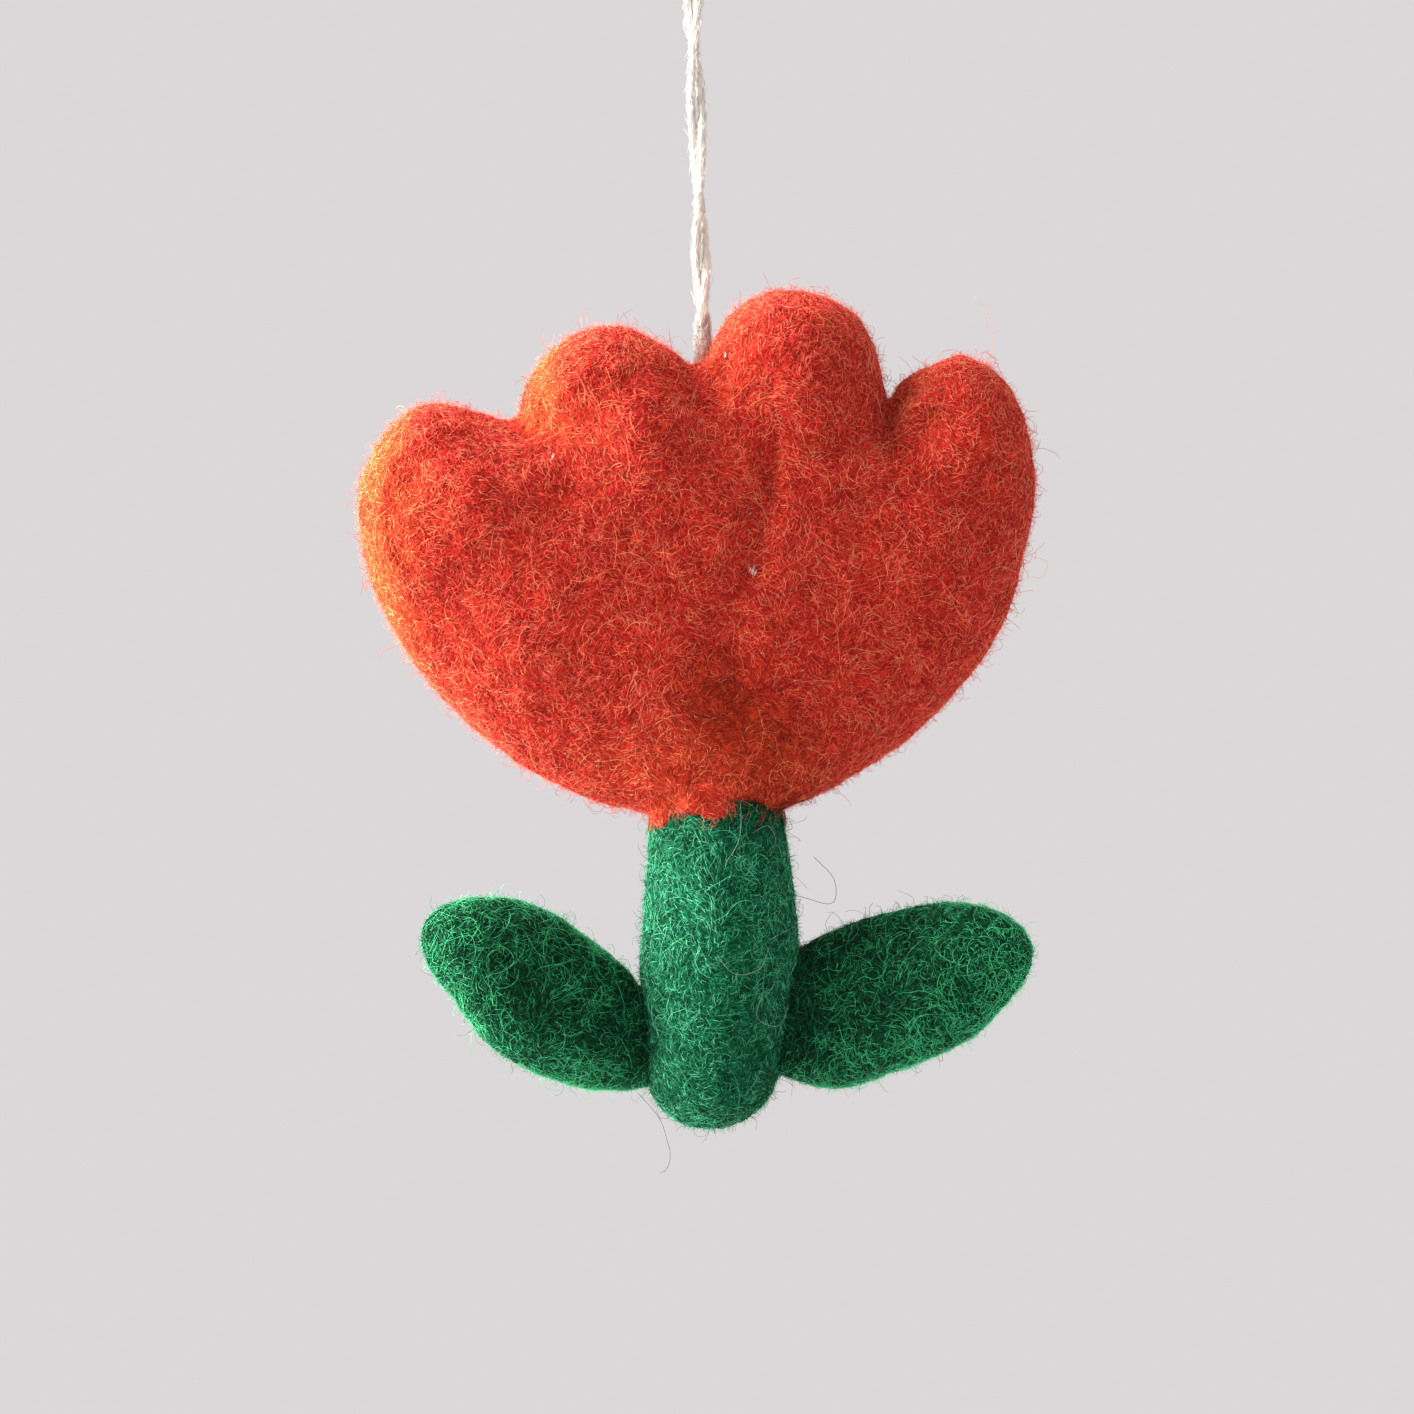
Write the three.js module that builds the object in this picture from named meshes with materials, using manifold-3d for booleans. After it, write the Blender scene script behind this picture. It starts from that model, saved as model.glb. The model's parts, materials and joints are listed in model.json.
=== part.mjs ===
// Felt flower ornament that hangs on a loop of cotton twine.
// Millimetres, +Z up, the front of the flower faces -Y. The origin is the point where the loop
// rests on its hook, so the whole ornament hangs below it.
import * as THREE from "three";
import { mergeVertices } from "three/addons/utils/BufferGeometryUtils.js";
import Module from "manifold-3d";

const wasm = await Module();
wasm.setup();

// Clearance between pieces that are felted or tied together
const FELT_GAP = 0.3;

// Twine loop: one strand goes up from the flower, round the hook and down again.
// The two strands wind loosely round each other and part near the top.
const TWINE_DIAMETER = 0.85;
const TWINE_SIDES = 8;
const TWINE_STEPS = 72;
const TWINE_ROUTE = [
  [1.95, 0.57, -75.2],
  [1.45, 0.54, -72.0],
  [1.0, 0.0, -67.8],
  [1.08, -0.42, -64.0],
  [1.4, -0.6, -60.2],
  [1.62, -0.42, -55.0],
  [1.65, 0.0, -50.0],
  [1.32, 0.42, -46.0],
  [0.75, 0.6, -42.0],
  [0.23, 0.42, -38.5],
  [-0.05, 0.0, -35.0],
  [-0.02, -0.42, -30.0],
  [0.3, -0.62, -25.0],
  [0.95, -0.5, -20.0],
  [2.1, -0.25, -14.5],
  [3.2, 0.0, -9.0],
  [3.4, 0.0, -4.5],
  [2.2, 0.0, -0.9],
  [0.0, 0.0, 0.425],
  [-2.2, 0.0, -0.9],
  [-3.4, 0.0, -4.5],
  [-3.1, 0.0, -9.0],
  [-1.7, 0.25, -14.5],
  [-0.45, 0.5, -20.0],
  [0.3, 0.62, -25.0],
  [0.82, 0.42, -30.0],
  [1.15, 0.0, -35.0],
  [1.07, -0.42, -38.5],
  [0.75, -0.6, -42.0],
  [0.48, -0.42, -46.0],
  [0.45, 0.0, -50.0],
  [0.78, 0.42, -55.0],
  [1.4, 0.6, -60.2],
  [1.92, 0.42, -64.0],
  [2.2, 0.0, -67.8],
  [1.95, -0.54, -72.0],
  [1.65, -0.57, -75.2],
];

// Cord neck and anchor knot, with the room that the flower needs to tip on them
const NECK_DIAMETER = 2.1;
const NECK_SHOWN = 3.7;
const KNOT_DIAMETER = 4.8;
const KNOT_DEPTH = 4.6;
const CORD_ROOM = 1.35;
const FUNNEL_HEIGHT = 20;
const SWAY_DEGREES = 12;
const NOD_DEGREES = 30;

// Flower: a round pad with four lobes along its upper edge and a thick foot over the stem. Places
// in the flower are measured from the notch between the two middle lobes, where the twine goes in.
const STEM_X = 1.8;
const PAD = { x: -0.8, z: -14.6, halfWidth: 39.0, rise: 9.0, drop: 39.0, halfDepth: 11.6 };
const FOOT = { x: STEM_X, z: -46.5, halfWidth: 13.0, rise: 9.0, drop: 7.0, halfDepth: 9.0 };
const FAR_LEFT = { x: -30.3, z: -17.0, halfWidth: 10.2, rise: 12.3, drop: 12.3, halfDepth: 9.6 };
const MID_LEFT = { x: -10.7, z: -6.9, halfWidth: 11.2, rise: 11.4, drop: 14.0, halfDepth: 10.4 };
const MID_RIGHT = { x: 10.6, z: -2.0, halfWidth: 10.8, rise: 10.8, drop: 16.0, halfDepth: 10.4 };
const FAR_RIGHT = { x: 29.8, z: -13.1, halfWidth: 9.4, rise: 13.8, drop: 13.8, halfDepth: 9.6 };
const LOBES = [FAR_LEFT, MID_LEFT, MID_RIGHT, FAR_RIGHT];
const PETAL_NAMES = ["petal_far_left", "petal_mid_left", "petal_mid_right", "petal_far_right"];
const WOOL_FULLNESS = 2.3;
const FELT_BLEND = 0.9;
const SKIN_MIDDLE_DROP = 21;
const FAN_ROOT_DROP = 36;
const FLOWER_SEGMENTS = 88;
const FLOWER_RINGS = 18;
const CORE = { x: -0.8, z: -27.0, halfWidth: 21.0, halfDepth: 6.5, halfHeight: 12.5 };

// Stem, measured from the underside of the flower
const STEM_LENGTH = 37.4;
const STEM_TOP_RADIUS = 7.9;
const STEM_BELLY_RADIUS = 9.3;
const STEM_BELLY_RISE = 21;
const STEM_FOOT_RADIUS = 8.0;
const STEM_FOOT_RISE = 7.0;
const TENON_RADIUS = 5;
const TENON_LENGTH = 9;
const STEM_STEPS = 5;
const ROUND_SEGMENTS = 24;
const ROUND_RINGS = 10;

// Leaves: almonds that lean up and away from the stem. Reach is from the stem's side to the
// middle of the leaf, and rise is from the stem's foot.
const LEAF_LEFT = { reach: 10.7, rise: 16.1, halfLength: 17.0, halfWidth: 8.6, lean: 32.7 };
const LEAF_RIGHT = { reach: 11.1, rise: 16.1, halfLength: 17.8, halfWidth: 9.0, lean: 19.0 };
const LEAF_HALF_DEPTH = 5.2;
const LEAF_SEGMENTS = 24;
const LEAF_RINGS = 12;

// Beyond every piece, the distance at which two points are one, and the steps of a search
const FAR = 200;
const SAME_POINT = 1e-4;
const SEARCH_STEPS = 40;

const wool = (color) => new THREE.MeshStandardMaterial({ color, roughness: 0.95, metalness: 0 });
const RED_WOOL = wool(0xc8321e);
const STEM_GREEN = wool(0x1c7d50);
const LEAF_GREEN = wool(0x0d5f3c);
const CORE_WOOL = wool(0xe6dcc8);
const COTTON = wool(0xf4f0e6);

// A closed geometry as a solid for cutting and joining, and back again
function toSolid(geometry) {
  const bare = geometry.clone();
  bare.deleteAttribute("normal");
  bare.deleteAttribute("uv");
  const merged = mergeVertices(bare, SAME_POINT);
  return new wasm.Manifold(new wasm.Mesh({
    numProp: 3,
    vertProperties: Float32Array.from(merged.attributes.position.array),
    triVerts: Uint32Array.from(merged.index.array),
  }));
}

function toGeometry(solid) {
  const mesh = solid.getMesh();
  const geometry = new THREE.BufferGeometry();
  geometry.setAttribute("position", new THREE.BufferAttribute(mesh.vertProperties, 3));
  geometry.setIndex(new THREE.BufferAttribute(mesh.triVerts, 1));
  geometry.computeVertexNormals();
  return geometry;
}

// How far a point lies outside a wad of wool, along the line from the middle of the wad
function outsideWad(wad, x, y, z) {
  const across = (x - wad.x) / wad.halfWidth;
  const up = (z - wad.z) / (z > wad.z ? wad.rise : wad.drop);
  const inPlane = Math.hypot(across, up) ** WOOL_FULLNESS;
  const size = (inPlane + Math.abs(y / wad.halfDepth) ** WOOL_FULLNESS) ** (1 / WOOL_FULLNESS);
  return Math.hypot(x - wad.x, y, z - wad.z) * (1 - 1 / Math.max(size, SAME_POINT));
}

// Above zero inside the flower: its wads of wool run into each other softly
function insideFlower(x, y, z, grown) {
  let sum = 0;
  for (const wad of [PAD, FOOT, ...LOBES]) {
    sum += Math.exp((grown - outsideWad(wad, x, y, z)) / FELT_BLEND);
  }
  return sum - 1;
}

// Distance from a start inside the flower to its surface, in the direction given
function reachOfFlower(start, direction, grown) {
  let inside = 0;
  let outside = FAR;
  for (let step = 0; step < SEARCH_STEPS; step += 1) {
    const reach = (inside + outside) / 2;
    const point = start.clone().addScaledVector(direction, reach);
    if (insideFlower(point.x, point.y, point.z, grown) > 0) inside = reach;
    else outside = reach;
  }
  return inside;
}

const SKIN_MIDDLE = new THREE.Vector3(PAD.x, 0, PAD.z - SKIN_MIDDLE_DROP);

// The whole flower as one closed skin: a sphere whose points are moved out to the felt's surface
function flowerSkin(grown) {
  const skin = new THREE.SphereGeometry(1, FLOWER_SEGMENTS, FLOWER_RINGS);
  const points = skin.attributes.position;
  const direction = new THREE.Vector3();
  for (let i = 0; i < points.count; i += 1) {
    direction.fromBufferAttribute(points, i);
    direction.multiply(new THREE.Vector3(PAD.halfWidth, PAD.halfDepth, PAD.drop)).normalize();
    const reach = reachOfFlower(SKIN_MIDDLE, direction, grown);
    points.setXYZ(i, ...SKIN_MIDDLE.clone().addScaledVector(direction, reach).toArray());
  }
  return toSolid(skin);
}

const UP = new THREE.Vector3(0, 0, 1);
const DOWN = new THREE.Vector3(0, 0, -1);
const NOTCH_Z = PAD.z + reachOfFlower(new THREE.Vector3(0, 0, PAD.z), UP, 0);
const FLOWER_FOOT_Z = PAD.z - reachOfFlower(new THREE.Vector3(STEM_X, 0, PAD.z), DOWN, 0);
const KNOT_Z = NOTCH_Z - KNOT_DEPTH;

// An egg shape that is round in every section, placed by its middle
function wadSolid(wad, grown, segments, rings) {
  const geometry = new THREE.SphereGeometry(1, segments, rings);
  geometry.scale(wad.halfWidth + grown, wad.halfDepth + grown, wad.halfHeight + grown);
  geometry.translate(wad.x, 0, wad.z);
  return toSolid(geometry);
}

function uprightCylinder(radius, bottom, top, x) {
  const geometry = new THREE.CylinderGeometry(radius, radius, top - bottom, ROUND_SEGMENTS);
  geometry.rotateX(Math.PI / 2);
  geometry.translate(x, 0, (bottom + top) / 2);
  return toSolid(geometry);
}

// The funnel that lets the twine lean as the flower nods and sways about the knot
function cordFunnel() {
  const height = KNOT_DEPTH + FUNNEL_HEIGHT;
  const geometry = new THREE.BoxGeometry(1, 1, height);
  const points = geometry.attributes.position;
  const room = CORD_ROOM + FELT_GAP;
  const sway = Math.tan(THREE.MathUtils.degToRad(SWAY_DEGREES));
  const leaning = Math.cos(THREE.MathUtils.degToRad(SWAY_DEGREES));
  const nod = Math.tan(THREE.MathUtils.degToRad(NOD_DEGREES)) / leaning;
  for (let i = 0; i < points.count; i += 1) {
    const above = points.getZ(i) + height / 2;
    const halfX = room + above * sway;
    const halfY = room + above * nod;
    const sideX = Math.sign(points.getX(i));
    const sideY = Math.sign(points.getY(i));
    points.setXYZ(i, sideX * halfX, sideY * halfY, KNOT_Z + above);
  }
  return toSolid(geometry);
}

// A knife wedge between two creases that meet at the root of the fan, FELT_GAP clear of each
function petalWedge(root, fromAngle, toAngle) {
  const half = (fromAngle - toAngle) / 2;
  const middle = (fromAngle + toAngle) / 2;
  const inset = FELT_GAP / 2 / Math.sin(half);
  const tip = new THREE.Vector2(Math.cos(middle), Math.sin(middle)).multiplyScalar(inset).add(root);
  const side = (angle) => new THREE.Vector2(Math.cos(angle), Math.sin(angle)).multiplyScalar(FAR).add(tip);
  const shape = new THREE.Shape([tip, side(toAngle), side(fromAngle)]);
  const geometry = new THREE.ExtrudeGeometry(shape, { depth: FAR, bevelEnabled: false });
  geometry.translate(0, 0, -FAR / 2);
  geometry.rotateX(Math.PI / 2);
  return toSolid(geometry);
}

// Angles of the creases, from the left, as seen from the front
function creaseAngles(root) {
  const angles = [Math.PI];
  for (let i = 1; i < LOBES.length; i += 1) {
    const left = LOBES[i - 1];
    const right = LOBES[i];
    const notchX = (left.x + left.halfWidth + right.x - right.halfWidth) / 2;
    const notchZ = (left.z + right.z) / 2;
    angles.push(Math.atan2(notchZ - root.y, notchX - root.x));
  }
  angles.push(0);
  return angles;
}

function piece(name, solid, material) {
  const mesh = new THREE.Mesh(toGeometry(solid), material);
  mesh.name = name;
  return mesh;
}

const KNOT = {
  x: 0,
  z: KNOT_Z,
  halfWidth: KNOT_DIAMETER / 2,
  halfDepth: KNOT_DIAMETER / 2,
  halfHeight: KNOT_DIAMETER / 2,
};

// The four petals: the flower's skin, hollowed for what it holds and parted along its creases
function petals() {
  const root = new THREE.Vector2(STEM_X, FLOWER_FOOT_Z - FAN_ROOT_DROP);
  const angles = creaseAngles(root);
  const socketTop = FLOWER_FOOT_Z + TENON_LENGTH + FELT_GAP;
  const socket = uprightCylinder(
    TENON_RADIUS + FELT_GAP,
    FLOWER_FOOT_Z - TENON_LENGTH,
    socketTop,
    STEM_X,
  );
  const hollow = flowerSkin(0)
    .subtract(wadSolid(CORE, FELT_GAP, ROUND_SEGMENTS, ROUND_RINGS))
    .subtract(wadSolid(KNOT, FELT_GAP, ROUND_SEGMENTS, ROUND_RINGS))
    .subtract(socket)
    .subtract(cordFunnel());
  return PETAL_NAMES.map((name, i) => {
    const wedge = petalWedge(root, angles[i], angles[i + 1]);
    return piece(name, hollow.intersect(wedge), RED_WOOL);
  });
}

function flowerCore() {
  return piece("flower_core", wadSolid(CORE, 0, ROUND_SEGMENTS, ROUND_RINGS), CORE_WOOL);
}

// The stem: a turned roll that fills out at its belly, shaped to the flower and with a tenon in it
const STEM_FOOT_Z = FLOWER_FOOT_Z - STEM_LENGTH;

function stem() {
  const top = FLOWER_FOOT_Z + TENON_LENGTH;
  const profile = [new THREE.Vector2(0, STEM_FOOT_Z)];
  for (let i = 1; i <= STEM_STEPS; i += 1) {
    const turn = ((i / STEM_STEPS) * Math.PI) / 2;
    const rise = STEM_FOOT_RISE * (1 - Math.cos(turn));
    profile.push(new THREE.Vector2(STEM_FOOT_RADIUS * Math.sin(turn), STEM_FOOT_Z + rise));
  }
  const side = new THREE.SplineCurve([
    new THREE.Vector2(STEM_FOOT_RADIUS, STEM_FOOT_Z + STEM_FOOT_RISE),
    new THREE.Vector2(STEM_BELLY_RADIUS, STEM_FOOT_Z + STEM_BELLY_RISE),
    new THREE.Vector2(STEM_TOP_RADIUS, FLOWER_FOOT_Z),
  ]);
  profile.push(...side.getPoints(STEM_STEPS * 2).slice(1));
  profile.push(new THREE.Vector2(STEM_TOP_RADIUS, top), new THREE.Vector2(0, top));
  const roll = new THREE.LatheGeometry(profile, ROUND_SEGMENTS);
  roll.rotateX(Math.PI / 2);
  roll.translate(STEM_X, 0, 0);
  const tenon = uprightCylinder(TENON_RADIUS, FLOWER_FOOT_Z - TENON_LENGTH, top, STEM_X);
  return piece("stem", toSolid(roll).subtract(flowerSkin(FELT_GAP)).add(tenon), STEM_GREEN);
}

// A leaf on one side of the stem (side -1 is the left), cut square where it meets the stem
function leaf(name, size, side) {
  const stemSide = STEM_X + side * (STEM_BELLY_RADIUS + FELT_GAP);
  const almond = new THREE.SphereGeometry(1, LEAF_SEGMENTS, LEAF_RINGS);
  almond.scale(size.halfLength, LEAF_HALF_DEPTH, size.halfWidth);
  almond.rotateY(-side * THREE.MathUtils.degToRad(size.lean));
  almond.translate(stemSide + side * size.reach, 0, STEM_FOOT_Z + size.rise);
  const keep = new THREE.BoxGeometry(FAR, FAR, FAR);
  keep.translate(stemSide + (side * FAR) / 2, 0, STEM_FOOT_Z);
  return piece(name, toSolid(almond).intersect(toSolid(keep)), LEAF_GREEN);
}

function anchorKnot() {
  return piece("anchor_knot", wadSolid(KNOT, 0, ROUND_SEGMENTS, ROUND_RINGS), COTTON);
}

// The doubled twine between the knot and the parting of the two strands
function cordNeck() {
  const bottom = KNOT_Z + KNOT_DIAMETER / 2 + FELT_GAP;
  return piece("cord_neck", uprightCylinder(NECK_DIAMETER / 2, bottom, NOTCH_Z + NECK_SHOWN, 0), COTTON);
}

const TWINE_POINTS = TWINE_ROUTE.map((point) => new THREE.Vector3(...point));

function hangingLoop() {
  const section = new THREE.Shape();
  for (let i = 0; i < TWINE_SIDES; i += 1) {
    const angle = (i / TWINE_SIDES) * 2 * Math.PI;
    const x = (Math.cos(angle) * TWINE_DIAMETER) / 2;
    const y = (Math.sin(angle) * TWINE_DIAMETER) / 2;
    if (i === 0) section.moveTo(x, y);
    else section.lineTo(x, y);
  }
  section.closePath();
  const tube = new THREE.ExtrudeGeometry(section, {
    steps: TWINE_STEPS,
    extrudePath: new THREE.CatmullRomCurve3(TWINE_POINTS),
  });
  return piece("hanging_loop", toSolid(tube), COTTON);
}

// The flower hangs so that its neck ends just below the two ends of the twine
const FIRST = TWINE_POINTS[0];
const LAST = TWINE_POINTS[TWINE_POINTS.length - 1];

const flower = new THREE.Group();
flower.position.set(
  (FIRST.x + LAST.x) / 2,
  (FIRST.y + LAST.y) / 2,
  Math.min(FIRST.z, LAST.z) - FELT_GAP - NECK_SHOWN - NOTCH_Z,
);
flower.add(
  ...petals(),
  flowerCore(),
  stem(),
  leaf("leaf_left", LEAF_LEFT, -1),
  leaf("leaf_right", LEAF_RIGHT, 1),
  anchorKnot(),
  cordNeck(),
);

const ornament = new THREE.Group();
ornament.add(hangingLoop(), flower);

export default ornament;
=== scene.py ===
# %% [markdown]
# # A felt flower on a loop of twine
#
# The real ornament is needle-felted: loose wool is stabbed with barbed needles until it holds a
# shape. It has a plump red head with four rounded lobes, a green stem, two leaves, and a doubled
# cotton twine that comes out between the two middle lobes. A measured frame gives the sizes and
# the joints. This lesson dresses the frame with wool and cotton.

# %% Load the measured frame
import json
import math

import bpy
import numpy as np
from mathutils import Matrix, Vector
from mathutils.bvhtree import BVHTree


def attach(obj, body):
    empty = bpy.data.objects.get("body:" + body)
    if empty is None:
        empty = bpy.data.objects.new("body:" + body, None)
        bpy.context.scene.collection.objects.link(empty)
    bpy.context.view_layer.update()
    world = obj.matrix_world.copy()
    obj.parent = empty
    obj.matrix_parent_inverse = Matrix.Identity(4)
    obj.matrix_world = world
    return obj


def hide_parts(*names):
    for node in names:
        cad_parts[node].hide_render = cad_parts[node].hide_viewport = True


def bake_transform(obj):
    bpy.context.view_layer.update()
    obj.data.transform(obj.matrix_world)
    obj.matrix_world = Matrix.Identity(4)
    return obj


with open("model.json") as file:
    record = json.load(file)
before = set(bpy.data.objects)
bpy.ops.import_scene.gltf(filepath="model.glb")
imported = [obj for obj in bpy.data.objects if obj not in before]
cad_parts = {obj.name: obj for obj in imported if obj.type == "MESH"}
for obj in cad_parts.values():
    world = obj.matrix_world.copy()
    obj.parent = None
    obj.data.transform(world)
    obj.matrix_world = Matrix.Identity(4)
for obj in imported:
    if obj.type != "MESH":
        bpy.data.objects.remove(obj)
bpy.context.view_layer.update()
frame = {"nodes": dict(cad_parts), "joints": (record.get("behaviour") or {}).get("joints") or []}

MM = 0.001
scene = bpy.context.scene
chance = np.random.default_rng(20)
print("measured pieces:", ", ".join(sorted(frame["nodes"])))

# %% [markdown]
# ## Camera
#
# The photograph looks straight at the ornament from its own height, with hardly any perspective.
# A long lens does that. The distance follows from the lens and from the width that the picture
# covers in the plane of the flower.

# %% Set up the camera
PICTURE_WIDTH = 168.5 * MM
PICTURE_MIDDLE = Vector((2.28, 0, -120.6)) * MM
LENS = 100
SENSOR = 36

away = PICTURE_WIDTH * LENS / SENSOR
bpy.ops.object.camera_add(
    location=PICTURE_MIDDLE - Vector((0, away, 0)), rotation=(math.pi / 2, 0, 0)
)
camera = bpy.context.object
camera.data.lens = LENS
camera.data.sensor_width = SENSOR
camera.data.clip_start = 0.01
scene.camera = camera
scene.view_settings.view_transform = "Standard"
print(f"camera {away:.3f} m in front of the flower")

# %% [markdown]
# ## Studio
#
# The photograph has an even, pale grey backdrop and one wide soft light from the left. The world
# can be both backdrop and fill: the camera and glosses see the backdrop colour, and the felt sees
# a white sky that fills its shadows. A large area lamp is the window. It stands straight at the
# side, so its light rakes over the wool. The ornament hangs, so the floor is well below it, and
# the floor fades out at its rim, so no edge shows.

# %% Helpers for colours and nodes
def from_srgb(red, green, blue):
    """A colour written as in a paint program (0 to 255), as Blender's linear values."""
    parts = np.array([red, green, blue]) / 255
    linear = np.where(parts <= 0.04045, parts / 12.92, ((parts + 0.055) / 1.055) ** 2.4)
    return (*(float(part) for part in linear), 1.0)


def set_inputs(node, values):
    """Gives inputs their values: a constant is set, and another node's output is joined."""
    for name, value in values.items():
        if isinstance(value, bpy.types.NodeSocket):
            node.id_data.links.new(value, node.inputs[name])
        else:
            node.inputs[name].default_value = value


def add_node(tree, kind, *entries, out=0, **values):
    """A new node's output. Values that name a property set it, and the others are inputs."""
    node = tree.nodes.new(kind)
    inputs = dict(enumerate(entries))
    for name, value in values.items():
        if hasattr(node, name):
            setattr(node, name, value)
        else:
            inputs[name.replace("_", " ")] = value
    set_inputs(node, inputs)
    return node.outputs[out] if len(node.outputs) else None


def add_mix(tree, share, first, second):
    return add_node(
        tree, "ShaderNodeMix", data_type="RGBA", Factor=share, A=first, B=second, out="Result"
    )


def add_ramp(tree, value, *stops):
    """A ramp of colours, from stops of (place, colour)."""
    colour = add_node(tree, "ShaderNodeValToRGB", value)
    ends = colour.node.color_ramp.elements
    for end, (place, shade) in ((ends[0], stops[0]), (ends[1], stops[-1])):
        end.position, end.color = place, shade
    for place, shade in stops[1:-1]:
        ends.new(place).color = shade
    return colour


def empty_tree(block):
    block.use_nodes = True
    block.node_tree.nodes.clear()
    return block.node_tree


# %% Pale backdrop and soft fill
BACKDROP = from_srgb(220, 216, 217)
FILL_STRENGTH = 0.85

scene.world = bpy.data.worlds.new("studio_air")
tree = empty_tree(scene.world)
rays = add_node(tree, "ShaderNodeLightPath").node.outputs
seen = rays["Is Camera Ray"]
for other in ("Is Glossy Ray", "Is Transmission Ray"):
    seen = add_node(tree, "ShaderNodeMath", seen, rays[other], operation="MAXIMUM")
fill = add_node(tree, "ShaderNodeBackground", (1, 1, 1, 1), FILL_STRENGTH)
shown = add_node(tree, "ShaderNodeBackground", BACKDROP, 1.0)
add_node(tree, "ShaderNodeOutputWorld", add_node(tree, "ShaderNodeMixShader", seen, fill, shown))
print("backdrop", [round(part, 3) for part in BACKDROP[:3]])

# %% Window light on the left
WINDOW_PLACE = Vector((-0.42, 0.01, 0.01))
WINDOW_SIZE = (0.26, 0.74)
WINDOW_POWER = 13.3

bpy.ops.object.light_add(type="AREA", location=WINDOW_PLACE)
window = bpy.context.object
window.name = "window"
window.data.shape = "RECTANGLE"
window.data.size, window.data.size_y = WINDOW_SIZE
window.data.energy = WINDOW_POWER
window.rotation_euler = (PICTURE_MIDDLE - WINDOW_PLACE).to_track_quat("-Z", "Y").to_euler()
window.visible_camera = False
print(f"{window.name} of {WINDOW_POWER} W")

# %% Floor
FLOOR_RADIUS = 0.26
FLOOR_Z = -0.31
FADE_START, FADE_END = FLOOR_RADIUS * 0.6, FLOOR_RADIUS * 0.98

bpy.ops.object.select_all(action="DESELECT")
bpy.ops.mesh.primitive_circle_add(
    vertices=96, radius=FLOOR_RADIUS, fill_type="NGON", location=(0, 0, FLOOR_Z)
)
floor = bpy.context.object
floor.name = "floor"
bpy.ops.object.transform_apply(location=True, rotation=True, scale=True)
paper = bpy.data.materials.new("floor_paper")
tree = empty_tree(paper)
where = add_node(tree, "ShaderNodeTexCoord", out="Object")
flat = add_node(tree, "ShaderNodeVectorMath", where, (1, 1, 0), operation="MULTIPLY")
far = add_node(tree, "ShaderNodeVectorMath", flat, operation="LENGTH", out="Value")
fade = add_node(
    tree, "ShaderNodeMapRange", far, FADE_START, FADE_END, interpolation_type="SMOOTHSTEP"
)
sheet = add_node(tree, "ShaderNodeBsdfDiffuse", BACKDROP)
gone = add_node(tree, "ShaderNodeBsdfTransparent")
add_node(tree, "ShaderNodeOutputMaterial", add_node(tree, "ShaderNodeMixShader", fade, sheet, gone))
floor.data.materials.append(paper)
print(f"floor at {FLOOR_Z} m")

# %% [markdown]
# ## Cotton finish
#
# Cotton twine is a bundle of plies, each spun from short pale fibres. Up close a ply has fine
# lines along it and small shadows between the fibres. The pattern follows the ply, so it reads
# a UV map whose U goes round the ply and whose V goes along it, in millimetres. Where the cord
# goes into the flower, red wool has worked into it, so its lower end can be tinted along V.

# %% Cotton material
def new_material(name):
    material = bpy.data.materials.new(name)
    material.use_nodes = True
    return material, material.node_tree, material.node_tree.nodes["Principled BSDF"]


COTTON_PALE = from_srgb(228, 222, 212)
COTTON_SHADE = from_srgb(206, 191, 178)
RED_STAIN = from_srgb(190, 92, 80)
STAIN_HEIGHT = 8.5


def cotton_material(name, stained_up_to=0.0):
    material, tree, shader = new_material(name)
    along = add_node(tree, "ShaderNodeUVMap", uv_map="ply")
    spun = add_node(tree, "ShaderNodeMapping", along, Scale=(9.0, 0.7, 1.0))
    fine = add_node(
        tree, "ShaderNodeTexNoise", spun, Scale=1.0, Detail=4.0, Roughness=0.65, out="Fac"
    )
    colour = add_ramp(tree, fine, (0.32, COTTON_SHADE), (0.62, COTTON_PALE))
    if stained_up_to:
        height = add_node(tree, "ShaderNodeSeparateXYZ", along, out="Y")
        stain = add_node(
            tree, "ShaderNodeMapRange", height, 0.0, stained_up_to, 0.85, 0.0,
            interpolation_type="SMOOTHSTEP",
        )
        colour = add_mix(tree, stain, colour, RED_STAIN)
    bump = add_node(tree, "ShaderNodeBump", Strength=0.5, Distance=0.0001, Height=fine)
    set_inputs(shader, {
        "Base Color": colour, "Normal": bump, "Roughness": 0.85, "Sheen Weight": 0.3,
    })
    return material


cotton = cotton_material("cotton")
stained_cotton = cotton_material("stained_cotton", STAIN_HEIGHT)
print("finishes:", cotton.name, stained_cotton.name)

# %% [markdown]
# ## Hanging loop
#
# The twine is one length of cotton: up from the flower, round the hook and down again, and the
# two runs wind loosely round each other. A bevelled curve would be smooth like a wire. Here three
# soft plies are swept round the route, as they are laid in real twine, and they are a little
# thicker in some places than in others. The route is the one that the frame was measured with.

# %% Route of the twine
# Where the two runs are, in millimetres: the middle between them, the way from it to the first run
# (sideways and back), and the height. The second run is as far on the other side.
TWINE_RUNS = np.array([
    (1.8, 0.15, 0.57, -75.2), (1.7, -0.25, 0.54, -72), (1.6, -0.6, 0, -67.8),
    (1.5, -0.42, -0.42, -64), (1.4, 0, -0.6, -60.2), (1.2, 0.42, -0.42, -55),
    (1.05, 0.6, 0, -50), (0.9, 0.42, 0.42, -46), (0.75, 0, 0.6, -42),
    (0.65, -0.42, 0.42, -38.5), (0.55, -0.6, 0, -35), (0.4, -0.42, -0.42, -30),
    (0.3, 0, -0.62, -25), (0.25, 0.7, -0.5, -20), (0.2, 1.9, -0.25, -14.5),
    (0.05, 3.15, 0, -9), (0, 3.4, 0, -4.5), (0, 2.2, 0, -0.9),
])
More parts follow.
